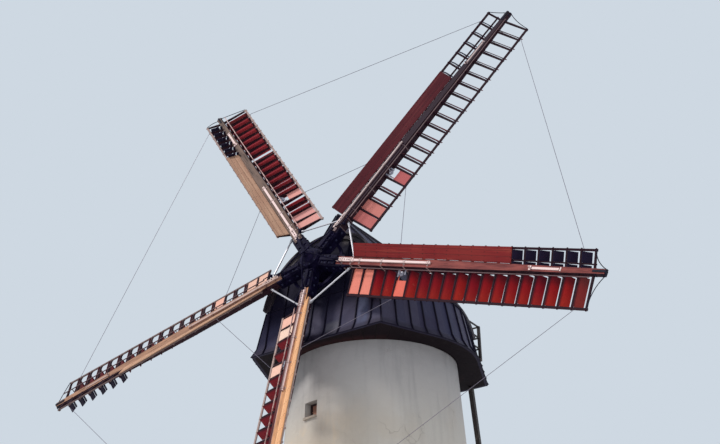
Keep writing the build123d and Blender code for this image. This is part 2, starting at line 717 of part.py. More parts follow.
def make_board():
    # from the stock's front corner out over the rail, lying on the bars
    lift = BOARD_SEAT + BOARD_THICKNESS / 2 + 2 * SEAT
    sections = []
    for r in (HEEL_RADIUS - BAR, STOCK_TAPER_START, HEEL_RADIUS + BOARD_BAYS * BAY_PITCH + BAR / 2):
        reach, weather = edge_point(1, r)
        corner = stock_half_width(r) * (math.cos(weather) + math.sin(weather))
        width = reach - corner - BOARD_EDGE_GAP
        centre = bay_point(1, r, reach - width / 2, lift)
        plane = Plane(origin=centre, x_dir=bay_plane(1, r).y_dir, z_dir=(1, 0, 0))
        sections.append(plane * Rectangle(width, BOARD_THICKNESS))
    return loft(sections, ruled=True)


def make_shutter(side, bay):
    r = HEEL_RADIUS + (bay + 0.5) * BAY_PITCH
    closed = side < 0 and bay in CLOSED_SHUTTERS
    plane = bay_plane(side, r)
    outer = edge_point(side, r)[0] - RAIL_WIDTH
    weather = edge_point(side, r)[1]
    root = stock_half_width(r) / math.cos(weather)
    if side > 0:
        root = lath_middle(r) + LATH / 2 + SEAT
    pin_corner = SHUTTER_PIN * math.sqrt(0.5)
    pin_root = root + pin_corner * math.tan(weather) + SEAT
    pin_end = outer - pin_corner * math.tan(abs(weather - middle_weather(side))) - SEAT
    pin = sorted((side * pin_root, side * pin_end))
    plate = sorted((side * (root + 2 * SHUTTER_END_GAP), side * (outer - SHUTTER_END_GAP)))
    half_pin, half_plate = SHUTTER_PIN / 2, SHUTTER_THICKNESS / 2
    shutter = block(-SHUTTER_WIDTH / 2, SHUTTER_WIDTH / 2, plate[0], plate[1], -half_plate, half_plate)
    shutter += block(-half_pin, half_pin, pin[0], pin[1], -half_pin, half_pin)
    turn = 0 if closed else SHUTTER_OPEN_ANGLE
    return plane * Rot(0, -turn, 0) * shutter


def make_shutters():
    trailing = [make_shutter(-1, bay) for bay in range(BAYS)]
    leading = [make_shutter(1, bay) for bay in range(BOARD_BAYS, BAYS)]
    return trailing + leading


def make_link_rod():
    angle = math.radians(abs(SHUTTER_OPEN_ANGLE))
    rise = SHUTTER_WIDTH / 2 * math.sin(angle) + SHUTTER_THICKNESS / 2 * math.cos(angle)
    lift = rise + LINK_ROD / 2 + SEAT
    ends = [bay_point(-1, r, LINK_REACH, lift) for r in (HEEL_RADIUS, SAIL_TIP)]
    return lath(-1, ends, LINK_ROD, LINK_ROD)


def make_tip_iron():
    # a strap on the stock's end and an iron across it, with a rod to each corner of the frame
    front = stock_half_width(STOCK_RADIUS - TIP_IRON_LENGTH) + SEAT
    end = STOCK_RADIUS + SEAT
    half = TIP_IRON_WIDTH / 2
    iron = block(STOCK_RADIUS - TIP_IRON_LENGTH, end + TIP_IRON_THICKNESS, -half, half,
                 front, front + TIP_IRON_THICKNESS)
    iron += block(end, end + TIP_IRON_THICKNESS, -half, half, -half, front + TIP_IRON_THICKNESS)
    iron += block(end, end + TIP_IRON_THICKNESS, -TIP_IRON_REACH, TIP_IRON_REACH, -half, half)
    corner_r = SAIL_TIP + BAR - TIP_ROD_DIAMETER / 2
    lift = RAIL_THICKNESS / 2 + TIP_ROD_DIAMETER / 2 + TIP_ROD_GAP
    for side in (-1, 1):
        reach = edge_point(side, SAIL_TIP)[0] - RAIL_WIDTH / 2
        start = Vector(end + TIP_IRON_THICKNESS / 2, side * (TIP_IRON_REACH - TIP_ROD_DIAMETER / 2), 0)
        middle = bay_point(side, (start.X + corner_r) / 2 - TIP_ROD_SAG, reach / 2, TIP_ROD_LIFT)
        path = ThreePointArc(start, middle, bay_point(side, corner_r, reach, lift))
        section = Plane(origin=path @ 0, z_dir=path % 0) * RegularPolygon(TIP_ROD_DIAMETER / 2, 6)
        iron += sweep(section, path=path)
    return iron


def make_clamp():
    stout = block(CLAMP_START, CLAMP_STEP, -CLAMP_WIDTH / 2, CLAMP_WIDTH / 2,
                  STOCK_HALF, STOCK_HALF + CLAMP_THICKNESS)
    slim = block(CLAMP_STEP, CLAMP_END, -CLAMP_SLIM_WIDTH / 2, CLAMP_SLIM_WIDTH / 2,
                 STOCK_HALF, STOCK_HALF + CLAMP_SLIM_THICKNESS)
    return stout + slim


def place(plane, shape):
    return plane.location * shape


def build_sails():
    stock = make_stock()
    lattices = [make_lattice(side, stock) for side in (1, -1)]
    board = make_board()
    shutters = make_shutters()
    clamp, link, tip_iron = make_clamp(), make_link_rod(), make_tip_iron()
    planes = [sail_plane(index) for index in range(SAIL_COUNT)]
    for index, plane in enumerate(planes):
        name = f"sail_{index + 1}"
        save(f"{name}_frame", *[place(plane, lattice) for lattice in lattices])
        save(f"{name}_shutters", *[place(plane, shutter) for shutter in shutters])
    save("sail_stocks", *[place(plane, stock) for plane in planes])
    save("leading_boards", *[place(plane, board) for plane in planes])
    save("clamp_bars", *[place(plane, clamp) for plane in planes])
    save("shutter_rods", *[place(plane, link) for plane in planes])
    save("tip_irons", *[place(plane, tip_iron) for plane in planes])


def build_windshaft():
    neck = NECK_SET_BACK
    half_bearing = BEARING_LENGTH / 2 + RUNNING_GAP
    back = TAIL_SET_BACK + half_bearing
    outline = Polygon(
        (0, -BOSS_LENGTH / 2), (SHAFT_RADIUS, -BOSS_LENGTH / 2),
        (SHAFT_RADIUS, -neck + half_bearing), (NECK_RADIUS, -neck + half_bearing),
        (NECK_RADIUS, -neck - half_bearing), (SHAFT_RADIUS, -neck - half_bearing),
        (TAIL_RADIUS + TAIL_SHOULDER, -TAIL_SET_BACK + half_bearing),
        (TAIL_RADIUS, -TAIL_SET_BACK + half_bearing), (TAIL_RADIUS, -back), (0, -back), align=None)
    shaft = revolve(Plane.XZ * outline, Axis.Z, 360)
    save("windshaft", place(HUB_PLANE, shaft))


def build_cross():
    # a boss with a channel for each stock's root, open at the front
    cross = Cylinder(BOSS_RADIUS, BOSS_LENGTH)
    channel = STOCK_HALF + SEAT
    outer = channel + CROSS_PLATE
    angles = [FIRST_SAIL_ANGLE + index * 360 / SAIL_COUNT for index in range(SAIL_COUNT)]
    for angle in angles:
        cross += Rot(0, 0, angle) * block(0, CROSS_ARM_REACH, -outer, outer, -outer, STOCK_HALF)
    for angle in angles:
        cross -= Rot(0, 0, angle) * block(STOCK_START - SEAT, CROSS_ARM_REACH + OVERCUT, -channel, channel,
                                          -channel, BOSS_LENGTH)
    ring = Cylinder(HUB_RING_RADIUS + HUB_RING_WIDTH / 2, HUB_RING_THICKNESS)
    ring -= Cylinder(HUB_RING_RADIUS - HUB_RING_WIDTH / 2, HUB_RING_THICKNESS)
    cross += Pos(0, 0, -outer - HUB_RING_THICKNESS / 2) * ring
    cross -= Cylinder(SHAFT_RADIUS + SEAT, 2 * BOSS_LENGTH)
    save("iron_cross", place(HUB_PLANE, cross))


def sail_point(index, r, y, z):
    plane = sail_plane(index)
    return plane.origin + plane.x_dir * r + plane.y_dir * y + plane.z_dir * z


def rail_face(index, side, r):
    # a point on a rail's outer edge and the way that edge faces
    plane = sail_plane(index)
    weather = middle_weather(side)
    outward = (plane.y_dir * math.cos(weather) + plane.z_dir * math.sin(weather)) * side
    centre = bay_point(side, r, edge_point(side, r)[0] - RAIL_WIDTH / 2, 0)
    return sail_point(index, centre.X, centre.Y, centre.Z) + outward * (RAIL_WIDTH / 2), outward


def stay_wire(index, following, r):
    # from one sail's leading rail to the next sail's trailing rail, drawn tight
    start, start_face = rail_face(index, 1, r)
    end, end_face = rail_face(following, -1, r)
    along = (end - start).normalized()
    ends = []
    for point, face, direction in ((start, start_face, along), (end, end_face, -along)):
        slope = face.dot(direction)
        lift = WIRE_DIAMETER / 2 * math.sqrt(1 - slope ** 2) + SEAT
        ends.append(point + direction * (lift / slope))
    return rod(ends[0], ends[1], WIRE_DIAMETER)


def build_ties():
    ties, wires = [], []
    for index in range(SAIL_COUNT):
        following = (index + 1) % SAIL_COUNT
        # this sail's leading side faces the next sail's trailing side
        half_angle = math.pi / SAIL_COUNT
        stand_off = TIE_DIAMETER / 2 * math.tan(half_angle) + SEAT
        start = sail_point(index, HEEL_RADIUS - TIE_INSET, STOCK_HALF, 0)
        end = sail_point(following, HEEL_RADIUS - TIE_INSET, -STOCK_HALF, 0)
        along = (end - start).normalized() * stand_off
        ties.append(rod(start + along, end - along, TIE_DIAMETER))
        for radius in (INNER_WIRE_RADIUS, SAIL_TIP - OUTER_WIRE_INSET):
            wires.append(stay_wire(index, following, radius))
    save("tie_rods", *ties)
    save("stay_wires", *wires)


build_tower()
build_cap()
build_sails()
build_windshaft()
build_cross()
build_ties()
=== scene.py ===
"""Looks of a five-sailed tower windmill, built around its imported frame, in metres."""

import json
import math
from itertools import product

import bmesh
import bpy
from bpy.props import FloatProperty, FloatVectorProperty, IntProperty, PointerProperty
from bpy.types import Operator, Panel, PropertyGroup
from mathutils import Matrix, Vector
from mathutils.bvhtree import BVHTree


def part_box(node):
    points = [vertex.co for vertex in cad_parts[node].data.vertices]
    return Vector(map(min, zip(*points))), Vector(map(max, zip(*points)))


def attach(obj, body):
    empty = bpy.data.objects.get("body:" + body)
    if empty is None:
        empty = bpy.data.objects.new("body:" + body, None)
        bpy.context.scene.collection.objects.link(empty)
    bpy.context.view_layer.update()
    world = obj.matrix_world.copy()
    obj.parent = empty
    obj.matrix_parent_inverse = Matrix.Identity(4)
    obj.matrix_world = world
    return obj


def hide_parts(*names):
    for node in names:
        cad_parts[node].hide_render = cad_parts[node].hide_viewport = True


bl_info = {
    "name": "Tower windmill looks",
    "version": (1, 0, 0),
    "blender": (4, 5, 0),
    "location": "View3D > Sidebar > Windmill",
    "description": "Finishes and fine pieces of a five-sailed tower windmill",
    "category": "Object",
}

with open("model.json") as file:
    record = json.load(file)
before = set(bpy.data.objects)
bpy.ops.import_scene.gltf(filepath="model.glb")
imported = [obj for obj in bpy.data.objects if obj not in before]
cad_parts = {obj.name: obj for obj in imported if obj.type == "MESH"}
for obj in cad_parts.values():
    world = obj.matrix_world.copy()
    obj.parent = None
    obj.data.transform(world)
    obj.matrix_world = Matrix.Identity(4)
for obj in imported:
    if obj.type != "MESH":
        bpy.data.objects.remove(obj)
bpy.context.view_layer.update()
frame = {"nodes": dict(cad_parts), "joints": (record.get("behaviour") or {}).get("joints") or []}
NODES = frame["nodes"]
JOINTS = {joint["name"]: joint for joint in frame["joints"]}

# The plane that the sails turn in, from the frame's joint
HUB = Vector(JOINTS["sails_turn"]["pos_m"])
SHAFT = Vector(JOINTS["sails_turn"]["axis"]).normalized()
TILT = math.asin(SHAFT.z)
RIGHT = Vector((1, 0, 0))
ACROSS = Vector((0, math.sin(TILT), math.cos(TILT)))
SAILS = 5
SECTOR = 2 * math.pi / SAILS
FIRST_SAIL = math.radians(-20.21)

# Tower, windows and door, with azimuths in degrees from the front and the door's ring as (across, up)
TOWER_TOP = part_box("tower_wall_1")[1].z
TOWER_BASE_RADIUS = 3.014
TOWER_BATTER = 0.0592
WINDOW_AZIMUTH = -10
WINDOW_LEVELS = (4.600, 7.820)
WINDOW_HEIGHT = 0.504
WINDOW_SILL = 0.115
WINDOW_HEAD = 0.055
WINDOW_REVEAL = 0.230
WINDOW_BOARDS = 7
WINDOW_BOARD_PITCH = 0.042
WINDOW_STRAP_INSET = 0.07
DOOR_AZIMUTH = 110
DOOR_WIDTH = 0.815
DOOR_HEIGHT = 1.905
DOOR_HEAD = 2.0
DOOR_REVEAL = 0.260
DOOR_STRAPS = (0.32, 1.55)
DOOR_BOLTS = (-0.34, -0.20, -0.04, 0.12, 0.28)
DOOR_RING = (0.30, 1.0)
DOOR_RING_RADIUS = 0.045
FLOOR_BOARD = 0.16

# Cap, gallery and tail pole
CAP_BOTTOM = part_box("cap_skirt")[0].z
CAP_RADIUS = 3.040
CAP_LENGTH = 2.878
CAP_CORNER = 2.109
CAP_LEAN = 0.2
SKIRT_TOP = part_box("cap_front_wall")[0].z
SKIRT_FLARE = 0.090
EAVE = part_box("cap_right_wall")[1].z
GABLE_HALF = 1.98
GABLE_RISE = 2.045
GABLE_MARGIN = 0.24
CORNER_AZIMUTH = math.atan2(CAP_CORNER, CAP_LENGTH)
TANGENT_AZIMUTH = CORNER_AZIMUTH + math.acos(CAP_RADIUS / math.hypot(CAP_CORNER, CAP_LENGTH))
SIDE_SEAMS = (36.6, 44.3, 52.7, 61.4, 70.3, 80.2, 90.0)
FRONT_SEAMS = (0.255, 0.765, 1.27, 1.775)
SHAFT_HALF_ROOM = 0.40
SHAFT_SEAM_TOP = 11.24
PANEL_WIDTH = 0.51
PANEL_HEIGHT = 1.45
SOFFIT_BOARDS = 52
ROOF_SEAM_REACH = 2.35
RIDGE_REACH = 2.30
POSTS = 5
POST_BOLT_LEVELS = (0.367, 0.733, 1.06)
POLE_HEAD = Vector((0, 2.75, 10.126))
POLE_FOOT = Vector((0, 7.8, 0.9))
POLE_BANDS = (0.12, 0.5, 0.90, 0.955)

# Stocks and clamp bars, with places as distances from the hub and clamps as (width, depth)
STOCK = 0.260
STOCK_TIP = 0.140
STOCK_TAPER = 4.400
STOCK_END = 9.500
STOCK_SLOPE = (STOCK - STOCK_TIP) / 2 / (STOCK_END - STOCK_TAPER)
CLAMP_STEP = 1.650
CLAMP_STOUT = (0.110, 0.060)
CLAMP_SLIM = (0.066, 0.046)
CLAMP_BOLTS = (1.10, 1.17, 1.33, 1.43, 1.50)
COLLARS = (1.230, 1.560, 1.870, 2.665, 3.460, 4.260)
TIE_ROD = 1.5
TIP_BANDS = (9.24, 9.42)

# Each pale plate near a tip: its place, its size and its middle's height over the stock
TIP_PLATES = (
    (7.86, (0.78, 0.070, 0.012), 0.006),
    (7.42, (0.060, 0.130, 0.018), 0.009),
    (7.42, (0.030, 0.030, 0.090), 0.045),
    (8.29, (0.040, 0.110, 0.014), 0.007),
)

# Lattice and boards, with the weather in degrees at the heel and at the tip
HEEL = 1.623
BAYS = 19
PITCH = 0.398
SAIL_TIP = HEEL + BAYS * PITCH
BAR = 0.044
RAIL = 0.062
TRAILING_WIDTH = 0.946
TRAILING_WEATHER = (14.8, 12.9)
LEADING_WIDTH = 0.561
LEADING_WEATHER = (37.2, 27.2)
BOARD_BAYS = 13
BOARD_FRONT = 0.0526
PLANK = 0.122
NAIL_SHARES = (0.10, 0.36, 0.64, 0.90)

# Shutters: each sail's turn in degrees, and how far they reach from the pin to the heel side and past it
SHUTTER_STANCE = (
    (64.0, 0.046, 0.242),
    (64.0, 0.046, 0.205),
    (68.0, 0.170, 0.195),
    (82.0, 0.046, 0.285),
    (64.0, 0.046, 0.205),
)
SHUTTER_PIN = 0.070
SHUTTER_SHUT = 0.294
SHUTTER_THICKNESS = 0.020
BATTEN_INSET = 0.030
LATH_REACH = 0.130
LATH_WIDTH = 0.082
LINK_REACH = 0.180
LINK_LIFT = 0.174

# Bays counted from 0 at the heel, and the slack shutter as sail and bay
SHUT_BAYS = (0, 1, 4)
LEVER_BAY = 4
SLACK_SHUTTER = (2, 11)
SLACK_HEAD = 0.050

# Hub, with the front of its cross measured from the sails' plane and the heel's boss as (out, across)
CROSS_FRONT = 0.210
HUB_PROFILE = ((0.31, 0.0), (0.31, 0.03), (0.26, 0.05), (0.20, 0.06), (0.17, 0.11), (0.12, 0.15),
               (0.10, 0.16), (0.10, 0.21), (0.07, 0.24), (0.04, 0.25), (0.04, 0.31), (0.02, 0.32))
SPIDER_HEAD = CROSS_FRONT + 0.270
HUB_BOLTS = 10
HUB_BOLT_CIRCLE = 0.285
COVER_RIBS = (0.42, 0.70, 0.98)
COVER_BOLTS = (0.50, 0.62, 0.78, 0.90)
CHEEK_MIDDLE = 0.86
CHEEK_BOLTS = (0.60, 0.86, 1.12)
HEEL_BOSS = (1.36, -0.20)

# Stage: the camera, and the lamps as name, aim, share of the sun, spread in degrees and colour
CAMERA_PLACE = (18.7445, -29.1402, -3.9068)
CAMERA_AIM = (-33.25, 28.07, -1.13)
CAMERA_LENS = 63.42
SKY_LIGHT = (0.93, 0.96, 1.0)
COOL = (0.94, 0.96, 1.0)
LAMPS = (
    ("sun", (0.42, 0.55, -0.78), 1.0, 14.0, (1.0, 0.96, 0.90)),
    ("fill", (-0.62, 0.70, 0.10), 0.22, 60.0, COOL),
    ("back", (-0.30, -0.85, -0.45), 0.22, 60.0, COOL),
)


def tone(red, green, blue):
    """An sRGB colour, 0 to 255, as the linear one that Blender keeps."""
    shares = (c / 255 for c in (red, green, blue))
    return tuple(s / 12.92 if s <= 0.04045 else ((s + 0.055) / 1.055) ** 2.4 for s in shares)


# Shader sums


class Signal:
    """A shader socket that takes part in Python sums."""

    def __init__(self, nodes, socket):
        self.nodes = nodes
        self.socket = socket

    def sum(self, operation, *others):
        """A Math node on this value and the others, in that order."""
        return self.nodes.node("ShaderNodeMath", {"operation": operation}, dict(enumerate((self, *others))))

    def __add__(self, other):
        return self.sum("ADD", other)

    __radd__ = __add__

    def __mul__(self, other):
        return self.sum("MULTIPLY", other)

    __rmul__ = __mul__

    def __sub__(self, other):
        return self.sum("SUBTRACT", other)

    def __rsub__(self, other):
        return self.nodes.node("ShaderNodeMath", {"operation": "SUBTRACT"}, {0: other, 1: self})

    def __truediv__(self, other):
        return self.sum("DIVIDE", other)

    def __gt__(self, other):
        return self.sum("GREATER_THAN", other)

    def __lt__(self, other):
        return self.sum("LESS_THAN", other)

    def floor(self):
        return self.sum("FLOOR")

    def fraction(self):
        return self.sum("FRACT")

    def absolute(self):
        return self.sum("ABSOLUTE")

    def most(self, other):
        return self.sum("MAXIMUM", other)

    def equals(self, number):
        """1 where the value rounds to this whole number."""
        return (self - float(number)).absolute() < 0.5

    def between(self, low, high):
        """0 below low, 1 above high, and smooth between."""
        return self.nodes.node("ShaderNodeMapRange", {"interpolation_type": "SMOOTHSTEP", "clamp": True},
                               {"Value": self, "From Min": low, "From Max": high})

    def joint(self, width):
        """1 where the value is whole, as at the joints between boards, and 0 past this width from there."""
        return 1.0 - (0.5 - (self.fraction() - 0.5).absolute()).between(0.0, width)


class Nodes:
    """A node tree that one method fills."""

    def __init__(self, tree):
        self.tree = tree
        tree.nodes.clear()

    def node(self, kind, settings, values, output=0):
        """Adds a node: its settings first, then its sockets' values or links. None asks for every output."""
        node = self.tree.nodes.new(kind)
        for key, value in settings.items():
            setattr(node, key, value)
        for key, value in values.items():
            self.feed(node.inputs[key], value)
        if output is None:
            return [Signal(self, socket) for socket in node.outputs]
        return Signal(self, node.outputs[output])

    def feed(self, socket, value):
        """Gives a socket a link or a fixed value."""
        if isinstance(value, Signal):
            self.tree.links.new(value.socket, socket)
        elif socket.type == "RGBA":
            socket.default_value = (*value[:3], 1.0)
        else:
            socket.default_value = value


class Finish(Nodes):
    """One procedural material. Its coordinates are metres in the frame that the mill rests in."""

    def __init__(self, name):
        self.material = bpy.data.materials.new(name)
        self.material.use_nodes = True
        super().__init__(self.material.node_tree)
        self.surface = self.node("ShaderNodeBsdfPrincipled", {}, {})
        self.node("ShaderNodeOutputMaterial", {}, {"Surface": self.surface}, None)
        self.place = self.node("ShaderNodeTexCoord", {}, {}, "Object")
        self.axes = self.node("ShaderNodeSeparateXYZ", {}, {0: self.place}, None)

    def mix(self, share, first, second):
        return self.node("ShaderNodeMix", {"data_type": "RGBA"}, {0: share, 6: first, 7: second}, 2)

    def lay(self, colour, *coats):
        """Lays each (share, colour) over the colour in turn."""
        for share, coat in coats:
            colour = self.mix(share, colour, coat)
        return colour

    def vector(self, x, y, z):
        return self.node("ShaderNodeCombineXYZ", {}, {0: x, 1: y, 2: z})

    def stretched(self, *factors):
        """The place with its axes scaled. A pattern runs out along an axis whose factor is small."""
        return self.node("ShaderNodeVectorMath", {"operation": "MULTIPLY"}, {0: self.place, 1: factors})

    def dot(self, place, direction):
        return self.node("ShaderNodeVectorMath", {"operation": "DOT_PRODUCT"},
                         {0: place, 1: tuple(direction)}, 1)

    def noise(self, scale, place=None, detail=3.0, roughness=0.55, distortion=0.0, output=0):
        return self.node("ShaderNodeTexNoise", {},
                         {"Vector": place or self.place, "Scale": scale, "Detail": detail,
                          "Roughness": roughness, "Distortion": distortion}, output)

    def cells(self, scale):
        """A colour for each of many cells."""
        return self.node("ShaderNodeTexVoronoi", {"feature": "F1"}, {"Vector": self.place, "Scale": scale}, 1)

    def edges(self, scale, place=None):
        """How far each point lies from the edge of its cell."""
        return self.node("ShaderNodeTexVoronoi", {"feature": "DISTANCE_TO_EDGE"},
                         {"Vector": place or self.place, "Scale": scale})

    def choose(self, number, choices):
        """The colour, or the value, that stands at the place of a whole number."""
        chosen = choices[0]
        for index, choice in enumerate(choices[1:], 1):
            past = number > index - 0.5
            if isinstance(choice, float):
                chosen = past * (choice - chosen) + chosen
            else:
                chosen = self.mix(past, chosen, choice)
        return chosen

    def draw(self, *numbers):
        """The same random number, 0 to 1, wherever the given numbers are the same."""
        x, y, z = (*numbers, 0.0, 0.0)[:3]
        return self.node("ShaderNodeTexWhiteNoise", {"noise_dimensions": "3D"}, {0: self.vector(x, y, z)})

    def sail_place(self):
        """How far out on the nearest sail, to its leading side and to its front, and that sail's number."""
        away = self.node("ShaderNodeVectorMath", {"operation": "SUBTRACT"}, {0: self.place, 1: tuple(HUB)})
        right, up, front = (self.dot(away, axis) for axis in (RIGHT, ACROSS, SHAFT))
        turn = (up.sum("ARCTAN2", right) - FIRST_SAIL) / SECTOR
        nearest = (turn + 0.5).floor()
        rest = (turn - nearest) * SECTOR
        reach = distance(right, up)
        number = nearest.sum("FLOORED_MODULO", SAILS)
        return reach * rest.sum("COSINE"), reach * rest.sum("SINE"), front, number

    def finish(self, colour, roughness, *relief, specular=0.5, coat=0.0, metallic=0.0):
        """Completes the material. Each (height, depth in metres) of the relief raises the surface in turn."""
        sockets = {"Base Color": colour, "Roughness": roughness, "Specular IOR Level": specular,
                   "Coat Weight": coat, "Metallic": metallic}
        for height, depth in relief:
            values = {"Height": height, "Distance": depth}
            if "Normal" in sockets:
                values["Normal"] = sockets["Normal"]
            sockets["Normal"] = self.node("ShaderNodeBump", {}, values)
        for name, value in sockets.items():
            self.feed(self.surface.socket.node.inputs[name], value)
        return self.material


def distance(x, y):
    """How far a point lies from where both of these values are 0."""
    return (x * x + y * y).sum("SQRT")


# Finishes


def limewash_finish(name, base):
    """Limewashed render over rubble: lumps, roughcast, rain streaks, damp at the foot and fine cracks, with
    painted shade under the cap and a painted patch of sunlight on the front left.
    """
    f = Finish(name)
    x, y, z = f.axes
    lumps = f.noise(2.2, detail=2.0)
    cast = f.noise(28.0, detail=6.0, roughness=0.7)
    streaks = f.noise(2.4, f.stretched(1.5, 1.5, 0.13), detail=5.0, roughness=0.6)
    cloud = f.noise(0.45, detail=4.0)
    patch = f.noise(0.8, f.stretched(1.0, 1.0, 0.7), detail=5.0, roughness=0.6, distortion=0.4)
    wander = f.noise(2.4, detail=2.0, roughness=0.5, output=1)
    bent = f.node("ShaderNodeVectorMath", {"operation": "ADD"}, {0: f.place, 1: wander})
    cracks = (1.0 - f.edges(0.8, bent).between(0.0, 0.010)) * f.noise(0.9, detail=2.0).between(0.52, 0.66)
    # Painted shade: the top of the tower is laid grey where the cap's shadow falls
    cap_shade_zone = z.between(TOWER_TOP - 3.2, TOWER_TOP - 0.1)
    # Painted sunlight: a warm lit patch on the front left of the tower, below the cap's shade
    in_sunlight = (x * -0.55 - y * 0.83).between(0.6, 2.6) * (1.0 - z.between(TOWER_TOP - 3.4, TOWER_TOP - 1.2))
    damp = (1.0 - z.between(0.1, 1.7)) * f.noise(1.4, detail=5.0).between(0.35, 0.6)
    colour = f.lay(
        base,
        (streaks.between(0.45, 0.75) * 0.16, tone(138, 136, 138)),
        (cloud.between(0.48, 0.7) * 0.35, tone(190, 176, 158)),
        (in_sunlight * (0.45 + patch.between(0.50, 0.56) * 0.45), tone(222, 202, 176)),
        (cap_shade_zone * 0.7, tone(160, 160, 168)),
        (cap_shade_zone * streaks.between(0.5, 0.7) * 0.16, tone(96, 94, 100)),
        (cast.between(0.62, 0.8) * 0.15, tone(112, 108, 104)),
        (cracks * 0.3, tone(96, 92, 88)),
        (damp * 0.6, tone(104, 108, 88)))
    return f.finish(colour, 0.92, (lumps, 0.035), (cast, 0.010), (cracks, -0.006), specular=0.2)


def stone_finish(name, base):
    """Flagstones, each of its own shade, with worn joints."""
    f = Finish(name)
    joints = 1.0 - f.edges(1.7).between(0.0, 0.03)
    grain = f.noise(20.0, detail=6.0)
    own = f.node("ShaderNodeSeparateColor", {}, {0: f.cells(1.7)})
    colour = f.lay(
        base,
        (own * 0.7, tone(112, 106, 98)),
        (grain.between(0.4, 0.7) * 0.4, tone(96, 92, 84)),
        (joints, tone(60, 56, 52)))
    return f.finish(colour, 0.85, (grain, 0.004), (joints, -0.01))


def sheet_finish(name, base):
    """Dark painted sheet, dented and weathered. Each panel has its own shade, and two in front are pale.
    Painted shade darkens the gable behind the hub and the skirt's flared foot, and a paler patch lies high on
    the gable.
    """
    f = Finish(name)
    x, y, z = f.axes
    course = (z / PANEL_HEIGHT + 0.35).floor()
    side_panel = f.draw((x.sum("ARCTAN2", y) * 6.6).floor(), course)
    front_panel = f.draw((x / PANEL_WIDTH + 0.5).floor(), course)
    panel = f.mix(y.absolute() > 2.3, side_panel, front_panel)
    cloud = f.noise(1.1, detail=5.0, roughness=0.62)
    streaks = f.noise(4.0, f.stretched(1.5, 1.5, 0.22), detail=5.0, roughness=0.7)
    dents = f.noise(2.6, detail=2.0)
    speck = f.noise(60.0)
    flat = (y.absolute() + z * CAP_LEAN - (CAP_LENGTH + CAP_LEAN * CAP_BOTTOM)).absolute() < 0.08
    # Painted shade: the gable wall behind the hub is laid near-black and made rougher, as it lies in shade
    gable_shade = flat * z.between(EAVE - 0.9, EAVE - 0.2) * (1.0 - x.absolute().between(1.75, 2.1))
    # A paler grey patch high on the gable, right of the middle
    pale_patch = flat * z.between(EAVE + 1.52, EAVE + 1.70) * x.between(0.45, 0.6)
    front = (y < -2.4) * f.noise(2.2, detail=4.0).between(0.25, 0.5)
    grey_pane = front * x.between(0.22, 0.34) * (1.0 - x.between(0.68, 0.76)) * (1.0 - z.between(9.98, 10.16))
    blue_pane = front * x.between(1.24, 1.40) * (1.0 - x.between(1.60, 1.70))
    roof = z.between(EAVE + 0.02, EAVE + 0.12) * (1.0 - flat)
    # Painted shade: the skirt's flared foot faces down and is laid darker, as it lies in shade
    foot = 1.0 - z.between(CAP_BOTTOM + 0.10, SKIRT_TOP + 0.05)
    colour = f.lay(
        base,
        (cloud.between(0.38, 0.66) * 0.5, tone(44, 34, 60)),
        (panel * 0.45, tone(82, 78, 98)),
        (streaks.between(0.58, 0.82) * 0.4, tone(112, 114, 128)),
        (speck.between(0.66, 0.8) * 0.2, tone(120, 122, 130)),
        (gable_shade * 0.96, tone(12, 8, 34)),
        (pale_patch * f.noise(3.0, detail=4.0).between(0.3, 0.5) * 0.75, tone(108, 102, 104)),
        (grey_pane * 0.6, tone(112, 112, 122)),
        (blue_pane * 0.5, tone(80, 90, 122)),
        (roof * f.noise(0.8, detail=4.0).between(0.35, 0.6) * 0.7, tone(52, 50, 62)),
        (roof * (1.0 - (y + 2.6).between(0.3, 0.9)) * 0.25, tone(98, 92, 92)),
        (foot * 0.75, tone(24, 14, 40)))
    rough = 0.58 + cloud * 0.16 + streaks * 0.10 + gable_shade * 0.14
    return f.finish(colour, rough, (dents, 0.02), (speck, 0.001), specular=0.22)


def seam_finish(name, base):
    """Folded seams, darker than the sheets and slightly rubbed."""
    f = Finish(name)
    rub = f.noise(18.0, detail=5.0).between(0.58, 0.78)
    colour = f.lay(base, (0.6, tone(16, 10, 32)), (rub * 0.25, tone(72, 74, 94)))
    return f.finish(colour, 0.7, (f.noise(40.0), 0.002), specular=0.15)


def tarred_finish(name, base, lift=0.5):
    """Tarred or dark-stained timber, its grain lifted to grey and dust on it."""
    f = Finish(name)
    grain = f.noise(9.0, f.stretched(1.0, 1.0, 7.0), detail=6.0, roughness=0.7, distortion=0.6)
    dust = f.noise(3.0, detail=5.0)
    colour = f.lay(
        base,
        (grain * lift, tone(96, 82, 76)),
        (dust.between(0.55, 0.78) * 0.4, tone(118, 108, 102)))
    return f.finish(colour, 0.78, (grain, 0.004), (dust, 0.002))


def soffit_finish(name, base):
    """Stained boards that run out from the tower like spokes, with painted shade that blackens them at the
    rim and on the right.
    """
    f = Finish(name)
    x, y, z = f.axes
    turn = x.sum("ARCTAN2", y) * (SOFFIT_BOARDS / 2 / math.pi)
    gap = turn.joint(0.05)
    grain = f.noise(12.0, detail=5.0)
    # Painted shade: the boards are laid near-black at the rim and on the right, where they lie in shade
    soffit_shade = distance(x, y).between(2.55, 2.85).most(x.between(1.1, 2.1))
    colour = f.lay(
        base,
        (f.draw(turn.floor()) * 0.5, tone(62, 34, 34)),
        (grain * 0.4, tone(28, 12, 20)),
        (soffit_shade * 0.85, tone(12, 6, 16)),
        (gap, tone(10, 6, 8)))
    return f.finish(colour, 0.85, (grain, 0.002), (gap, -0.006), specular=0.15)


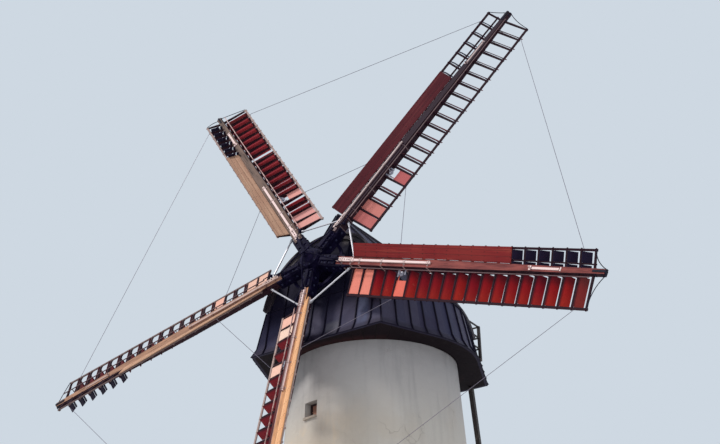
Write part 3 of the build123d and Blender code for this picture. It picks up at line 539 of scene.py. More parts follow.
def boards_finish(name, base):
    """Level boards with gaps between them, for the floors and the gallery."""
    f = Finish(name)
    board = f.axes[0] / FLOOR_BOARD
    gap = board.joint(0.04)
    grain = f.noise(14.0, f.stretched(1.0, 0.1, 1.0), detail=6.0, roughness=0.7, distortion=0.8)
    colour = f.lay(
        base,
        (f.draw(board.floor()) * 0.6, tone(92, 70, 52)),
        (grain.between(0.4, 0.7) * 0.5, tone(58, 44, 36)),
        (gap, tone(16, 12, 10)))
    return f.finish(colour, 0.8, (grain, 0.002), (gap, -0.006))


def joinery_finish(name, base):
    """Brown paint on timber, chalky and flaking to bare wood."""
    f = Finish(name)
    flake = f.noise(24.0, f.stretched(1.0, 1.0, 0.35), detail=6.0, roughness=0.72)
    grain = f.noise(40.0, f.stretched(1.0, 1.0, 0.08), detail=4.0)
    bare = flake.between(0.6, 0.66)
    colour = f.lay(base, (grain * 0.35, tone(70, 42, 30)), (bare * 0.7, tone(150, 126, 104)))
    return f.finish(colour, 0.62 + bare * 0.25, (grain, 0.001), (bare, -0.001))


def window_finish(name, base):
    """Dark painted frames, whose darkness is partly painted shade for the shadowed reveal, with the sills
    limewashed like the wall.
    """
    f = Finish(name)
    x, y, z = f.axes
    sill = distance(x, y) + z * TOWER_BATTER > TOWER_BASE_RADIUS - 0.15
    flake = f.noise(24.0, detail=6.0, roughness=0.72).between(0.6, 0.66)
    limewash = f.mix(f.noise(6.0, detail=5.0), tone(182, 168, 154), tone(150, 142, 134))
    colour = f.lay(base, (flake * 0.5, tone(110, 84, 76)), (sill, limewash))
    return f.finish(colour, 0.75, (flake, -0.001))


def glass_finish(name, base):
    """Old, wavy and dusty glass that reads dark from outside."""
    f = Finish(name)
    dust = f.noise(6.0, detail=5.0).between(0.45, 0.8)
    colour = f.mix(dust * 0.5, base, tone(104, 104, 100))
    return f.finish(colour, 0.06 + dust * 0.25, (f.noise(9.0, detail=1.0), 0.003), coat=0.6)


def iron_finish(name, base):
    """Black paint on iron castings, worn in places and rusty where it doesn't last."""
    f = Finish(name)
    cast = f.noise(36.0, detail=5.0)
    wear = f.noise(5.0, detail=6.0, roughness=0.68)
    rust = wear.between(0.6, 0.72)
    colour = f.lay(base, (wear.between(0.4, 0.7) * 0.35, tone(44, 38, 76)), (rust * 0.25, tone(60, 40, 56)))
    rough = 0.58 + cast * 0.16 + rust * 0.2
    return f.finish(colour, rough, (cast, 0.003), (wear, 0.006), specular=0.07)


def rod_finish(name, base):
    """Pale or grey painted rods with spots of rust."""
    f = Finish(name)
    spots = f.noise(30.0, detail=5.0).between(0.62, 0.72)
    tint = f.noise(2.5, detail=4.0)
    colour = f.lay(base, (tint * 0.5, tone(138, 136, 144)), (spots * 0.5, tone(110, 78, 62)))
    return f.finish(colour, 0.42, (spots, -0.0006), metallic=0.25)


# Finishes of the sails, whose number here is one less than in the nodes' names


def link_finish(name, base):
    """The link rods' paint: pale on sails 2 and 4, partly weathered and partly painted sunlight on those
    sunlit sails, and dark on the others.
    """
    f = Finish(name)
    reach, side, front, sail = f.sail_place()
    worn = f.noise(8.0, detail=6.0, roughness=0.7).between(0.42, 0.62)
    pale = f.mix(worn, tone(206, 168, 164), tone(128, 84, 84))
    # Partly painted sunlight: the rods on the sunlit sails 2 and 4 are laid pale
    in_sunlight = (sail > 1.5) * (1.0 - sail.equals(3))
    colour = f.lay(base, (in_sunlight * 0.95, pale), (worn * 0.35, tone(96, 60, 62)))
    return f.finish(colour, 0.5, (worn, -0.0006))


def cream_finish(name, base):
    """Cream paint with grime at the collars and rust weeping along the bar. Painted shade darkens the
    trailing flank on sails 1 and 4, and sail 3's bar is laid brown.
    """
    f = Finish(name)
    reach, side, front, sail = f.sail_place()
    grime = f.noise(7.0, detail=6.0, roughness=0.7)
    weep = f.noise(5.0, f.vector(reach * 0.5, side * 9.0, sail), detail=5.0).between(0.56, 0.74)
    at_collars = [1.0 - (reach - collar).absolute().between(0.03, 0.07) for collar in COLLARS]
    shaded_flank = 1.0 - side.between(0.010, 0.018)
    colour = f.lay(
        base,
        (grime.between(0.4, 0.7) * 0.35, tone(214, 182, 172)),
        (weep * 0.35, tone(158, 104, 92)),
        *[(at_collar * 0.45, tone(126, 92, 86)) for at_collar in at_collars],
        # Painted shade: the trailing flank of the bar is laid dark on sails 4 and 1
        (sail.equals(4) * shaded_flank * 0.8, tone(96, 50, 54)),
        (sail.equals(3) * 0.75, tone(142, 104, 88)),
        (sail.equals(1) * shaded_flank * (reach > 1.15) * 0.85, tone(62, 30, 46)))
    return f.finish(colour, 0.5, (grime, 0.001))


def timber_grain(f, reach, side, front, sail):
    """Grain that runs out along each sail, its own on every sail."""
    return f.noise(7.0, f.vector(reach * 0.22 + sail * 7.3, side * 9.0, front * 9.0), detail=6.0,
                   roughness=0.7, distortion=0.7)


def stock_finish(name, base):
    """Near-black stained stocks with drying splits. Each sail's front has its own colour, partly weathering
    and partly painted light and shade as the sun falls on that sail.
    """
    f = Finish(name)
    reach, side, front, sail = f.sail_place()
    grain = timber_grain(f, reach, side, front, sail)
    splits = f.noise(5.0, f.vector(reach * 0.12, side * 16.0, front * 16.0 + sail), detail=2.0)
    splits = splits.between(0.62, 0.68)
    blotch = f.noise(1.2, detail=4.0)
    # Painted sunlight on sail 4's front, with a painted shaded strip on its trailing side and a pale line
    # between
    sunlit = f.mix(side > -0.03, tone(92, 46, 48), tone(226, 166, 122))
    sunlit = f.mix((side + 0.036).absolute() < 0.009, sunlit, tone(206, 172, 164))
    # Each sail's front colour is partly weathering and partly painted light and shade
    weathered_and_lit = f.choose(sail, (tone(122, 54, 52), tone(34, 16, 34), tone(116, 100, 90), tone(186, 142, 116),
                             sunlit))
    half = STOCK / 2 - (reach - STOCK_TAPER).most(0.0) * STOCK_SLOPE
    facing_out = front.between(0.055, 0.075) * (side.absolute() < half - 0.004)
    streak = f.noise(1.6, f.vector(reach, side * 5.0, sail), detail=4.0).between(0.3, 0.7)
    colour = f.lay(
        base,
        (grain.between(0.35, 0.7) * 0.5, tone(62, 34, 44)),
        (blotch.between(0.5, 0.7) * 0.4, tone(26, 12, 28)),
        (facing_out * (0.6 + streak * 0.35), weathered_and_lit),
        (facing_out * f.choose(sail, (1.0, 0.0, 0.2, 0.0, 0.0)) * streak * 0.4, tone(172, 96, 88)),
        (splits * 0.8, tone(14, 8, 14)))
    return f.finish(colour, 0.72, (grain, 0.003), (splits, -0.006), specular=0.2)


def board_finish(name, red, tan):
    """Leading boards of planks: red stain, weathered to tan on sails 2 to 4. Each sail's tones are partly
    painted light: sunlight on sails 2 to 4 and shade on sails 0 and 1.
    """
    f = Finish(name)
    reach, side, front, sail = f.sail_place()
    plank = side / PLANK
    gap = plank.joint(0.05)
    grain = timber_grain(f, reach, side, front, sail)
    fine = f.noise(26.0, f.vector(reach * 0.07, side * 5.0, sail), detail=5.0, roughness=0.65)
    long = f.noise(3.0, f.vector(reach * 0.16, side * 4.0, sail * 3.0), detail=4.0, roughness=0.6)
    fade = f.noise(0.9, detail=4.0).between(0.35, 0.7)
    # Each sail's tones are partly the stain and partly painted light: lit on sails 2 to 4, shaded on sails 0
    # and 1
    base = f.choose(sail, (red, tone(92, 30, 40), tone(176, 136, 114), tan, tone(240, 182, 134)))
    dark = f.choose(sail, (tone(92, 22, 28), tone(58, 18, 30), tone(122, 92, 78), tone(150, 106, 84),
                           tone(206, 138, 98)))
    pale = f.choose(sail, (tone(170, 74, 62), tone(132, 62, 64), tone(206, 172, 146), tone(226, 190, 160),
                           tone(252, 214, 172)))
    colour = f.lay(
        base,
        (grain.between(0.4, 0.72) * 0.55, dark),
        (long.between(0.52, 0.7) * 0.55, pale),
        (fade * 0.2, pale),
        (f.draw(plank.floor(), sail) * 0.25, dark),
        (fine.between(0.58, 0.75) * 0.35, dark),
        (gap * 0.7, tone(38, 18, 20)))
    return f.finish(colour, 0.74, (grain, 0.002), (gap, -0.004), specular=0.2)


def lattice_finish(name, red, tan):
    """Rails and bars: near-black maroon paint. On the sunlit sails the outer rails are pale, partly worn
    paint and partly painted sunlight, and worn spots there are paler too.
    """
    f = Finish(name)
    reach, side, front, sail = f.sail_place()
    grain = timber_grain(f, reach, side, front, sail)
    worn = f.noise(9.0, detail=6.0, roughness=0.7).between(0.5, 0.68)
    in_sunlight = sail > 1.5
    rails = ((side < -0.84) * (side > -0.924)).most(side > 0.44) * (front > 0.0).most(side < 0.0)
    # Partly painted sunlight: the outer rails and worn spots are laid paler only on the sunlit sails
    pale = in_sunlight * rails * (1.0 - sail.equals(3) * 0.6)
    colour = f.lay(
        red,
        (pale * (0.6 + worn * 0.35), tan),
        (grain.between(0.4, 0.75) * 0.4, tone(26, 8, 20)),
        ((1.0 - pale) * worn * in_sunlight * 0.3, tone(128, 88, 84)))
    return f.finish(colour, 0.76, (grain, 0.002), specular=0.18)


def shutter_finish(name, red, pale_and_lit):
    """Red shutters, each of its own shade. Painted shade darkens them by the inner bar, toward the stock and
    at the outer ends on sail 2. Closed ones are pale, partly painted sunlight, and leading ones are nearly
    black.
    """
    f = Finish(name)
    reach, side, front, sail = f.sail_place()
    along = (reach - HEEL) / PITCH
    bay = along.floor()
    leading = side > 0.0
    trailing = 0.0 - side
    own = f.draw(bay, sail, leading)
    shade = f.draw(sail, bay + 31.0, leading)
    grain = f.noise(8.0, f.vector(side * 1.2, reach * 9.0, front * 9.0), detail=6.0,
                    roughness=0.7, distortion=0.5)
    wear = f.noise(5.0, detail=5.0, roughness=0.65)
    first, second, last = (bay.equals(shut) for shut in SHUT_BAYS)
    # Painted shadow: each shutter is laid dark beside its inner bar, except on sail 2
    bar_shadow = (1.0 - along.fraction().between(0.13, 0.22)) * (1.0 - sail.equals(2))
    light = f.choose(sail, (pale_and_lit, tone(172, 76, 84), tone(214, 152, 148), tone(226, 186, 168),
                            tone(244, 212, 194)))
    other = f.choose(sail, (red, tone(66, 24, 42), tone(164, 56, 68), tone(118, 44, 56), tone(122, 30, 48)))
    colour = f.lay(
        red,
        (own, tone(188, 34, 30)),
        (shade.between(0.55, 1.0) * 0.5, tone(134, 8, 40)),
        (trailing.between(0.35, 0.85) * 0.35, tone(206, 70, 44)),
        ((sail > 0.5) * 0.75, other),
        # Painted shade: on sail 2 the trailing shutters' outer ends are laid near-black
        (sail.equals(2) * trailing.between(0.79, 0.83) * 0.9, tone(24, 12, 30)),
        # Partly painted shade: the shutters are laid darker toward the stock
        (side.between(-0.40, -0.14) * 0.7, tone(62, 8, 30)),
        ((bay > BAYS - 1.5) * 0.6, tone(112, 52, 50)),
        (bar_shadow * 0.85, tone(34, 6, 28)),
        # Partly painted sunlight: closed trailing shutters are laid pale, for the sheen of lit paint
        (first.most(second).most(last) * (side < 0.0), f.mix(own * 0.6, light, tone(240, 168, 150))),
        (leading, tone(20, 12, 44)),
        (grain.between(0.45, 0.75) * 0.3, tone(84, 14, 32)),
        (wear.between(0.62, 0.76) * (1.0 - leading) * 0.25, tone(210, 120, 104)))
    return f.finish(colour, 0.62 + wear * 0.15, (grain, 0.0015), specular=0.2)


# Mesh building

SQUARE = ((-1, -1), (1, -1), (1, 1), (-1, 1))
TO_FRONT = Matrix.Rotation(math.pi / 2, 4, "X")


def moved(place, *offset):
    """A place matrix moved along its own axes."""
    return place @ Matrix.Translation(offset)


def placed(place, points):
    """Points that are given in a place matrix's own axes."""
    return [place @ Vector(point) for point in points]


def aimed(direction):
    """A turn that points Z this way."""
    return direction.normalized().to_track_quat("Z", "X").to_matrix().to_4x4()


def circle(count):
    """Angles evenly round a circle."""
    return [2 * math.pi * k / count for k in range(count)]


class Shape:
    """Collects the faces of one piece, in the frame's metres."""

    def __init__(self):
        self.points = []
        self.faces = []

    def add(self, points, faces):
        start = len(self.points)
        self.points += [Vector(p) for p in points]
        self.faces += [[start + i for i in face] for face in faces]

    def block(self, place, size, bevel=0.004):
        """A block with chamfered edges, centred on the place matrix."""
        half = [s / 2 for s in size]
        corners = list(product((-1, 1), repeat=3))
        points, number = [], {}
        for corner in corners:
            for face in range(3):
                number[corner, face] = len(points)
                points.append([corner[k] * (half[k] - (0 if k == face else bevel)) for k in range(3)])

        def corner_at(axis, along, pair):
            corner = list(pair)
            corner.insert(axis, along)
            return tuple(corner)

        faces = []
        for axis in range(3):
            one, other = (k for k in range(3) if k != axis)
            for sign in (-1, 1):
                faces.append([number[corner_at(axis, sign, pair), axis] for pair in SQUARE])
            for pair in SQUARE:
                low, high = corner_at(axis, -1, pair), corner_at(axis, 1, pair)
                faces.append([number[low, one], number[high, one], number[high, other], number[low, other]])
        faces += [[number[corner, face] for face in range(3)] for corner in corners]
        self.add(placed(place, points), faces)

    def blocks(self, place, bevel, *parts):
        """A block for each (offset, size) from the place matrix."""
        for offset, size in parts:
            self.block(moved(place, *offset), size, bevel)

    def ring_stack(self, rings, closed=False):
        """Joins rings of equally many points, with ends capped unless closed."""
        sides, count = len(rings[0]), len(rings)
        faces = []
        for k in range(count if closed else count - 1):
            a, b = k * sides, (k + 1) % count * sides
            faces += [[a + i, a + (i + 1) % sides, b + (i + 1) % sides, b + i] for i in range(sides)]
        if not closed:
            faces += [list(range(sides)), [(count - 1) * sides + i for i in range(sides)]]
        self.add([p for ring in rings for p in ring], faces)

    def lathe(self, place, profile, sides=12):
        """Turns (radius, height) steps about the place matrix's Z."""
        self.ring_stack([placed(place, [(radius * math.cos(a), radius * math.sin(a), height)
                                        for a in circle(sides)]) for radius, height in profile])

    def bolt(self, place, size=0.018):
        """A hexagon head on a washer, standing on the place matrix's plane."""
        self.lathe(place, [(size * 1.5, 0.0), (size * 1.5, size * 0.2), (size * 1.35, size * 0.25)], 10)
        self.lathe(place, [(size, size * 0.2), (size, size * 0.75), (size * 0.8, size * 0.9)], 6)

    def tube(self, points, radius, sides=8, closed=False):
        """A round bar along the points."""
        count = len(points)
        rings, normal = [], None
        for i, point in enumerate(points):
            ahead = points[(i + 1) % count] if closed or i < count - 1 else point
            behind = points[i - 1] if closed or i > 0 else point
            along = (ahead - behind).normalized()
            if normal is None:
                normal = along.orthogonal()
            normal = (normal - along * normal.dot(along)).normalized()
            other = along.cross(normal)
            rings.append([point + (normal * math.cos(a) + other * math.sin(a)) * radius
                          for a in circle(sides)])
        self.ring_stack(rings, closed)

    def rib(self, points, normals, width, height, sink=0.004):
        """A strip of rectangular section that stands on a surface along the points."""
        points = [Vector(p) for p in points]
        rings = []
        for i, (point, normal) in enumerate(zip(points, normals)):
            along = (points[min(i + 1, len(points) - 1)] - points[max(i - 1, 0)]).normalized()
            normal = Vector(normal).normalized()
            side = along.cross(normal).normalized() * (width / 2)
            foot, head = point - normal * sink, point + normal * height
            rings.append([foot - side, head - side * 0.7, head + side * 0.7, foot + side])
        self.ring_stack(rings)

    def piece(self, name, body, slot, material, smooth=32.0):
        """Makes the Blender object and lets it ride on its body."""
        mesh = bpy.data.meshes.new(name)
        mesh.from_pydata([tuple(p) for p in self.points], [], self.faces)
        shell = bmesh.new()
        shell.from_mesh(mesh)
        bmesh.ops.recalc_face_normals(shell, faces=shell.faces)
        shell.to_mesh(mesh)
        shell.free()
        mesh.polygons.foreach_set("use_smooth", [True] * len(mesh.polygons))
        mesh.set_sharp_from_angle(angle=math.radians(smooth))
        mesh.materials.append(material)
        obj = bpy.data.objects.new(name, mesh)
        bpy.context.scene.collection.objects.link(obj)
        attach(obj, body)
        return obj


def paint(material, *names):
    """Gives CAD nodes their finish."""
    for name in names:
        mesh = NODES[name].data
        mesh.materials.clear()
        mesh.materials.append(material)
        for polygon in mesh.polygons:
            polygon.material_index = 0


# Places on the tower, the sails and the cap


def facing(azimuth):
    """A frame whose -Y looks out of the tower at this azimuth, in degrees from the front."""
    return Matrix.Rotation(math.radians(azimuth), 4, "Z")


def outer_radius(z):
    return TOWER_BASE_RADIUS - TOWER_BATTER * z


def sail_matrix(index):
    """X out along the sail, Y to its leading side, Z to the front."""
    angle = FIRST_SAIL + index * SECTOR
    along = RIGHT * math.cos(angle) + ACROSS * math.sin(angle)
    side = SHAFT.cross(along)
    return Matrix((
        (along.x, side.x, SHAFT.x, HUB.x),
        (along.y, side.y, SHAFT.y, HUB.y),
        (along.z, side.z, SHAFT.z, HUB.z),
        (0, 0, 0, 1)))


def stock_half(r):
    return STOCK / 2 - max(0.0, r - STOCK_TAPER) * STOCK_SLOPE


def edge_point(side, r):
    """How far the rail lies from the stock's middle, and its weather: side 1 leads and -1 trails."""
    width, weather = (LEADING_WIDTH, LEADING_WEATHER) if side > 0 else (TRAILING_WIDTH, TRAILING_WEATHER)
    share = (r - HEEL) / (SAIL_TIP - HEEL)
    heel, tip = ((width * math.cos(a), width * math.sin(a)) for a in map(math.radians, weather))
    y = heel[0] + share * (tip[0] - heel[0])
    z = heel[1] + share * (tip[1] - heel[1])
    return math.hypot(y, z), math.atan2(z, y)


def bay_matrix(sail, side, r):
    """At the stock's middle on this sail, with Y along the weather to the leading side."""
    return moved(sail, r, 0, 0) @ Matrix.Rotation(edge_point(side, r)[1], 4, "X")


def bar_radii():
    """Where the bars cross the stock."""
    return [HEEL + k * PITCH for k in range(BAYS + 1)]


def cap_inset(z):
    """How far the cap's wall stands in from its line at the bottom."""
    if z < SKIRT_TOP:
        share = (z - CAP_BOTTOM) / (SKIRT_TOP - CAP_BOTTOM)
        return -SKIRT_FLARE + share * (CAP_LEAN * (SKIRT_TOP - CAP_BOTTOM) + SKIRT_FLARE)
    return CAP_LEAN * (z - CAP_BOTTOM)


def cap_point(azimuth, z):
    """A point of the cap's walls, and the way that the wall faces there."""
    turn = math.radians(azimuth)
    front = math.cos(turn) >= 0
    local = abs(turn) if front else math.pi - abs(turn)
    inset = cap_inset(z)
    if local < CORNER_AZIMUTH:
        reach, faces = (CAP_LENGTH - inset) / math.cos(local), 0.0
    elif local < TANGENT_AZIMUTH:
        reach, faces = (CAP_RADIUS - inset) / math.cos(local - TANGENT_AZIMUTH), TANGENT_AZIMUTH
    else:
        reach, faces = CAP_RADIUS - inset, local
    faces = math.copysign(faces if front else math.pi - faces, turn)
    point = Vector((reach * math.sin(turn), -reach * math.cos(turn), z))
    return point, Vector((math.sin(faces), -math.cos(faces), CAP_LEAN))


def gable_height(x):
    """The gable's height over the eave, this far from its middle."""
    return GABLE_RISE * math.sqrt(max(0.0, 1 - (x / GABLE_HALF) ** 2))


def surface_tree(name):
    """The surface of a CAD node, for finding points on it."""
    return BVHTree.FromObject(NODES[name], bpy.context.evaluated_depsgraph_get())


# Property groups


class WindmillTower(PropertyGroup):
    wall_colour: FloatVectorProperty(name="Wall", description="Limewash on the tower", subtype="COLOR",
                                     default=tone(200, 196, 190), min=0, max=1)
    joinery_colour: FloatVectorProperty(name="Joinery", description="Paint on the door and its frame",
                                        subtype="COLOR", default=tone(116, 68, 50), min=0, max=1)
    plank_width: FloatProperty(name="Door plank", description="Width of the door's planks", unit="LENGTH",
                               default=0.16, min=0.05)


class WindmillCap(PropertyGroup):
    sheet_colour: FloatVectorProperty(name="Sheet", description="Paint on the cap's sheets", subtype="COLOR",
                                      default=tone(50, 50, 78), min=0, max=1)
    seam_width: FloatProperty(name="Seam width", description="Thickness of a standing seam", unit="LENGTH",
                              default=0.034, min=0.005)
    seam_height: FloatProperty(name="Seam height", description="How far a seam stands out", unit="LENGTH",
                               default=0.045, min=0.005)
    roof_seams: IntProperty(name="Roof seams", description="Seams on each half of the roof", default=9, min=2)


class WindmillSails(PropertyGroup):
    board_red: FloatVectorProperty(name="Red board", description="Leading boards on the first sail",
                                   subtype="COLOR", default=tone(130, 32, 36), min=0, max=1)
    board_tan: FloatVectorProperty(name="Tan board", description="Leading boards on the fourth sail",
                                   subtype="COLOR", default=tone(196, 154, 128), min=0, max=1)
    shutter_red: FloatVectorProperty(name="Shutter", description="Paint on the shutters", subtype="COLOR",
                                     default=tone(158, 10, 34), min=0, max=1)
    shutter_pale_and_lit: FloatVectorProperty(name="Pale lit shutter", description="Closed shutters on the first sail",
                                       subtype="COLOR", default=tone(232, 112, 96), min=0, max=1)
    stock_colour: FloatVectorProperty(name="Stock", description="Stain on the stocks", subtype="COLOR",
                                      default=tone(44, 20, 34), min=0, max=1)
    peg_length: FloatProperty(name="Bar end", description="How far the bars pass the rails", unit="LENGTH",
                              default=0.018, min=0)


class WindmillHub(PropertyGroup):
    iron_colour: FloatVectorProperty(name="Iron", description="Paint on the hub and the shaft",
                                     subtype="COLOR", default=tone(9, 5, 30), min=0, max=1)
    bolt_size: FloatProperty(name="Bolt", description="Radius of a bolt's head", unit="LENGTH", default=0.024,
                             min=0.005)


class WindmillStage(PropertyGroup):
    sky_colour: FloatVectorProperty(name="Backdrop", description="Colour behind the mill", subtype="COLOR",
                                    default=tone(206, 216, 226), min=0, max=1)
    sun_strength: FloatProperty(name="Sun", description="Strength of the main lamp", default=2.3, min=0)
    sky_strength: FloatProperty(name="Sky light", description="Strength of the light from all round",
                                default=0.52, min=0)
    floor_radius: FloatProperty(name="Floor", description="Radius of the pale floor", unit="LENGTH",
                                default=19.0, min=1)


# Operators


class WINDMILL_OT_tower(Operator):
    """Finish the tower's walls, floors and curb"""
    bl_idname = "windmill.tower"
    bl_label = "Tower"

    def execute(self, context):
        settings = context.scene.windmill_tower
        walls = [f"tower_wall_{k}" for k in range(1, 7)]
        paint(limewash_finish("limewash", settings.wall_colour), *walls)
        paint(stone_finish("flagstones", tone(140, 134, 124)), "ground_floor")
        paint(boards_finish("floor_boards", tone(128, 100, 74)), "upper_floors")
        paint(tarred_finish("curb_timber", tone(44, 36, 34)), "curb")
        return {"FINISHED"}


class WINDMILL_OT_windows(Operator):
    """Finish the windows and board them, with a catch and strap hinges"""
    bl_idname = "windmill.windows"
    bl_label = "Windows"

    def execute(self, context):
        # The frames' dark colour is partly painted shade, for the shadow in the window's reveal
        paint(window_finish("window_paint", tone(62, 42, 42)), "window_frames")
        paint(glass_finish("window_glass", tone(30, 34, 42)), "window_panes")
        pale = joinery_finish("window_boards", tone(176, 126, 108))
        boards, irons = Shape(), Shape()
        for turn, level in product((0, 180), WINDOW_LEVELS):
            self.window(facing(WINDOW_AZIMUTH + turn), level, boards, irons)
        boards.piece("window_casements", "tower", "joinery", pale)
        irons.piece("window_hinges", "tower", "black_iron", iron_finish("window_iron", tone(36, 34, 40)))
        return {"FINISHED"}

    def window(self, place, level, boards, irons):
        """One window's stile and catch, its upright boards, and two straps with a bolt each."""
        front = WINDOW_REVEAL - outer_radius(level)
        low = level - WINDOW_HEIGHT / 2 + WINDOW_SILL
        high = level + WINDOW_HEIGHT / 2 - WINDOW_HEAD
        middle, height = (low + high) / 2, high - low
        boards.block(moved(place, -0.128, front + 0.022, middle), (0.026, 0.036, height))
        boards.block(moved(place, -0.163, front + 0.024, middle), (0.044, 0.020, 0.020), 0.003)
        for k in range(WINDOW_BOARDS):
            board = moved(place, -0.095 + k * WINDOW_BOARD_PITCH, front + 0.012, middle)
            boards.block(board, (WINDOW_BOARD_PITCH - 0.003, 0.022, height - 0.006), 0.003)
        for z in (low + WINDOW_STRAP_INSET, high - WINDOW_STRAP_INSET):
            irons.block(moved(place, 0.092, front - 0.002, z), (0.140, 0.006, 0.022), 0.002)
            irons.bolt(moved(place, 0.060, front - 0.005, z) @ TO_FRONT, 0.005)


class WINDMILL_OT_door(Operator):
    """Board the door and hang it on its straps"""
    bl_idname = "windmill.door"
    bl_label = "Door"

    def execute(self, context):
        settings = context.scene.windmill_tower
        joinery = joinery_finish("door_paint", settings.joinery_colour)
        paint(joinery, "door_frame", "door_leaf")
        place = moved(facing(DOOR_AZIMUTH), 0, DOOR_REVEAL - outer_radius(DOOR_HEAD), 0)
        planks, irons = Shape(), Shape()
        count = round(DOOR_WIDTH / settings.plank_width)
        pitch = DOOR_WIDTH / count
        for k in range(count):
            plank = moved(place, -DOOR_WIDTH / 2 + (k + 0.5) * pitch, -0.010, DOOR_HEIGHT / 2 + 0.003)
            planks.block(plank, (pitch - 0.006, 0.022, DOOR_HEIGHT), 0.005)
        for z in DOOR_STRAPS:
            irons.block(moved(place, -0.04, -0.024, z), (0.70, 0.006, 0.050), 0.002)
            for x in DOOR_BOLTS:
                irons.bolt(moved(place, x, -0.027, z) @ TO_FRONT, 0.009)
        x, z = DOOR_RING
        ring = [(x + DOOR_RING_RADIUS * math.cos(a), -0.034, z + DOOR_RING_RADIUS * math.sin(a))
                for a in circle(20)]
        irons.tube(placed(place, ring), 0.006, closed=True)
        irons.block(moved(place, x, -0.025, z + DOOR_RING_RADIUS), (0.07, 0.008, 0.10), 0.002)
        planks.piece("door_planks", "tower", "joinery", joinery)
        irons.piece("door_irons", "tower", "black_iron", iron_finish("door_iron", tone(34, 32, 38)))
        return {"FINISHED"}


class WINDMILL_OT_cap(Operator):
    """Sheet the cap's walls and roof, with standing seams"""
    bl_idname = "windmill.cap"
    bl_label = "Cap sheets"

    def execute(self, context):
        settings = context.scene.windmill_cap
        paint(sheet_finish("cap_sheet", settings.sheet_colour), "cap_front_wall", "cap_rear_wall",
              "cap_right_wall", "cap_left_wall", "cap_skirt", "cap_roof_right", "cap_roof_left")
        paint(soffit_finish("soffit_boards", tone(46, 24, 28)), "cap_soffit")
        paint(tarred_finish("gable_timber", tone(30, 24, 40), 0.2), "gable_boards")
        seam = seam_finish("seams", tone(18, 15, 36))
        width, height = settings.seam_width, settings.seam_height
        self.wall_seams(width, height).piece("cap_wall_seams", "cap", "cap_sheet", seam)
        self.roof_seams(settings.roof_seams, width, height).piece("cap_roof_seams", "cap", "cap_sheet", seam)
        self.edges().piece("cap_edges", "cap", "cap_sheet", seam)
        return {"FINISHED"}

    def wall_seams(self, width, height):
        """Upright seams round the flanks, and on the straight ends up into the gables."""
        seams = Shape()
        levels = [CAP_BOTTOM + 0.01, SKIRT_TOP - 0.005, SKIRT_TOP + 0.03, EAVE - 0.03]
        right = [*SIDE_SEAMS, *(180 - a for a in reversed(SIDE_SEAMS[:-1]))]
        for azimuth in right + [-a for a in right]:
            points, normals = zip(*(cap_point(azimuth, z) for z in levels))
            seams.rib(points, normals, width, height)
        for side, sign, across in product((-1, 1), (-1, 1), FRONT_SEAMS):
            top = EAVE + gable_height(across) - GABLE_MARGIN
            if side < 0 and across < SHAFT_HALF_ROOM:
                top = SHAFT_SEAM_TOP
            points = [(sign * across, side * (CAP_LENGTH - cap_inset(z)), z) for z in (*levels[:3], top)]
            seams.rib(points, [(0, side, CAP_LEAN)] * len(points), width, height)
        return seams

    def roof_seams(self, count, width, height):
        """Seams that follow the roof from the eave to the ridge, found on the solid itself."""
        seams = Shape()
        for side, sign in (("right", 1), ("left", -1)):
            tree = surface_tree(f"cap_roof_{side}")
            for k in range(count):
                centre = Vector((0, -ROOF_SEAM_REACH + 2 * ROOF_SEAM_REACH * k / (count - 1), EAVE - 0.02))
                points, normals = [], []
                for step in range(25):
                    angle = math.radians(0.6 + 89.0 * step / 24)
                    away = Vector((sign * math.cos(angle), 0, math.sin(angle)))
                    spot, normal, _, _ = tree.ray_cast(centre + away * 6, -away)
                    if spot is None or (centre - spot).length < 1.0:
                        continue
                    points.append(spot)
                    normals.append(-normal if normal.dot(away) < 0 else normal)
                if len(points) > 5:
                    seams.rib(points, normals, width, height)
        return seams

    def edges(self):
        """The drip edge along the skirt's foot, the eave's fold and the ridge roll."""
        edges = Shape()
        for z, radius, lift in ((CAP_BOTTOM + 0.012, 0.016, 0.006), (EAVE - 0.005, 0.014, 0.030)):
            line = []
            for k in range(-60, 60):
                point, normal = cap_point(k * 3.0, z)
                line.append(point + Vector((normal.x, normal.y, 0)) * lift)
            edges.tube(line, radius, closed=True)
        tree = surface_tree("cap_roof_right")
        ridge = []
        for k in range(41):
            y = -RIDGE_REACH + 2 * RIDGE_REACH * k / 40
            spot, _, _, _ = tree.ray_cast(Vector((0.004, y, 16)), Vector((0, 0, -1)))
            if spot is not None:
                ridge.append(Vector((0, y, spot.z + 0.01)))
        edges.tube(ridge, 0.045, 10)
        return edges


class WINDMILL_OT_gallery(Operator):
    """Finish the gallery and the tail pole, with their bands and bolts"""
    bl_idname = "windmill.gallery"
    bl_label = "Gallery and tail pole"

    def execute(self, context):
        paint(tarred_finish("tarred_timber", tone(26, 23, 28), 0.3), "gallery_railing", "tail_pole")
        paint(boards_finish("gallery_boards", tone(64, 56, 54)), "gallery_deck")
        irons = Shape()
        low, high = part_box("gallery_railing")
        for k in range(POSTS):
            x = low.x + 0.040 + k * (high.x - low.x - 0.080) / (POSTS - 1)
            foot = Matrix.Translation((x, high.y - 0.056, low.z + 0.004))
            irons.block(foot, (0.090, 0.100, 0.008), 0.002)
            irons.bolt(moved(foot, 0, -0.036, 0.004), 0.008)
            for level in POST_BOLT_LEVELS:
                irons.bolt(Matrix.Translation((x, high.y - 0.080, low.z + level - 0.02)) @ TO_FRONT, 0.009)
        run = POLE_FOOT - POLE_HEAD
        for share in POLE_BANDS:
            irons.blocks(Matrix.Translation(POLE_HEAD + run * share) @ aimed(run), 0.002,
                         *[((side * 0.134, 0, 0), (0.010, 0.28, 0.07)) for side in (1, -1)],
                         *[((0, side * 0.134, 0), (0.26, 0.010, 0.07)) for side in (1, -1)])
        irons.piece("gallery_irons", "cap", "black_iron", iron_finish("gallery_iron", tone(30, 28, 34)))
        return {"FINISHED"}


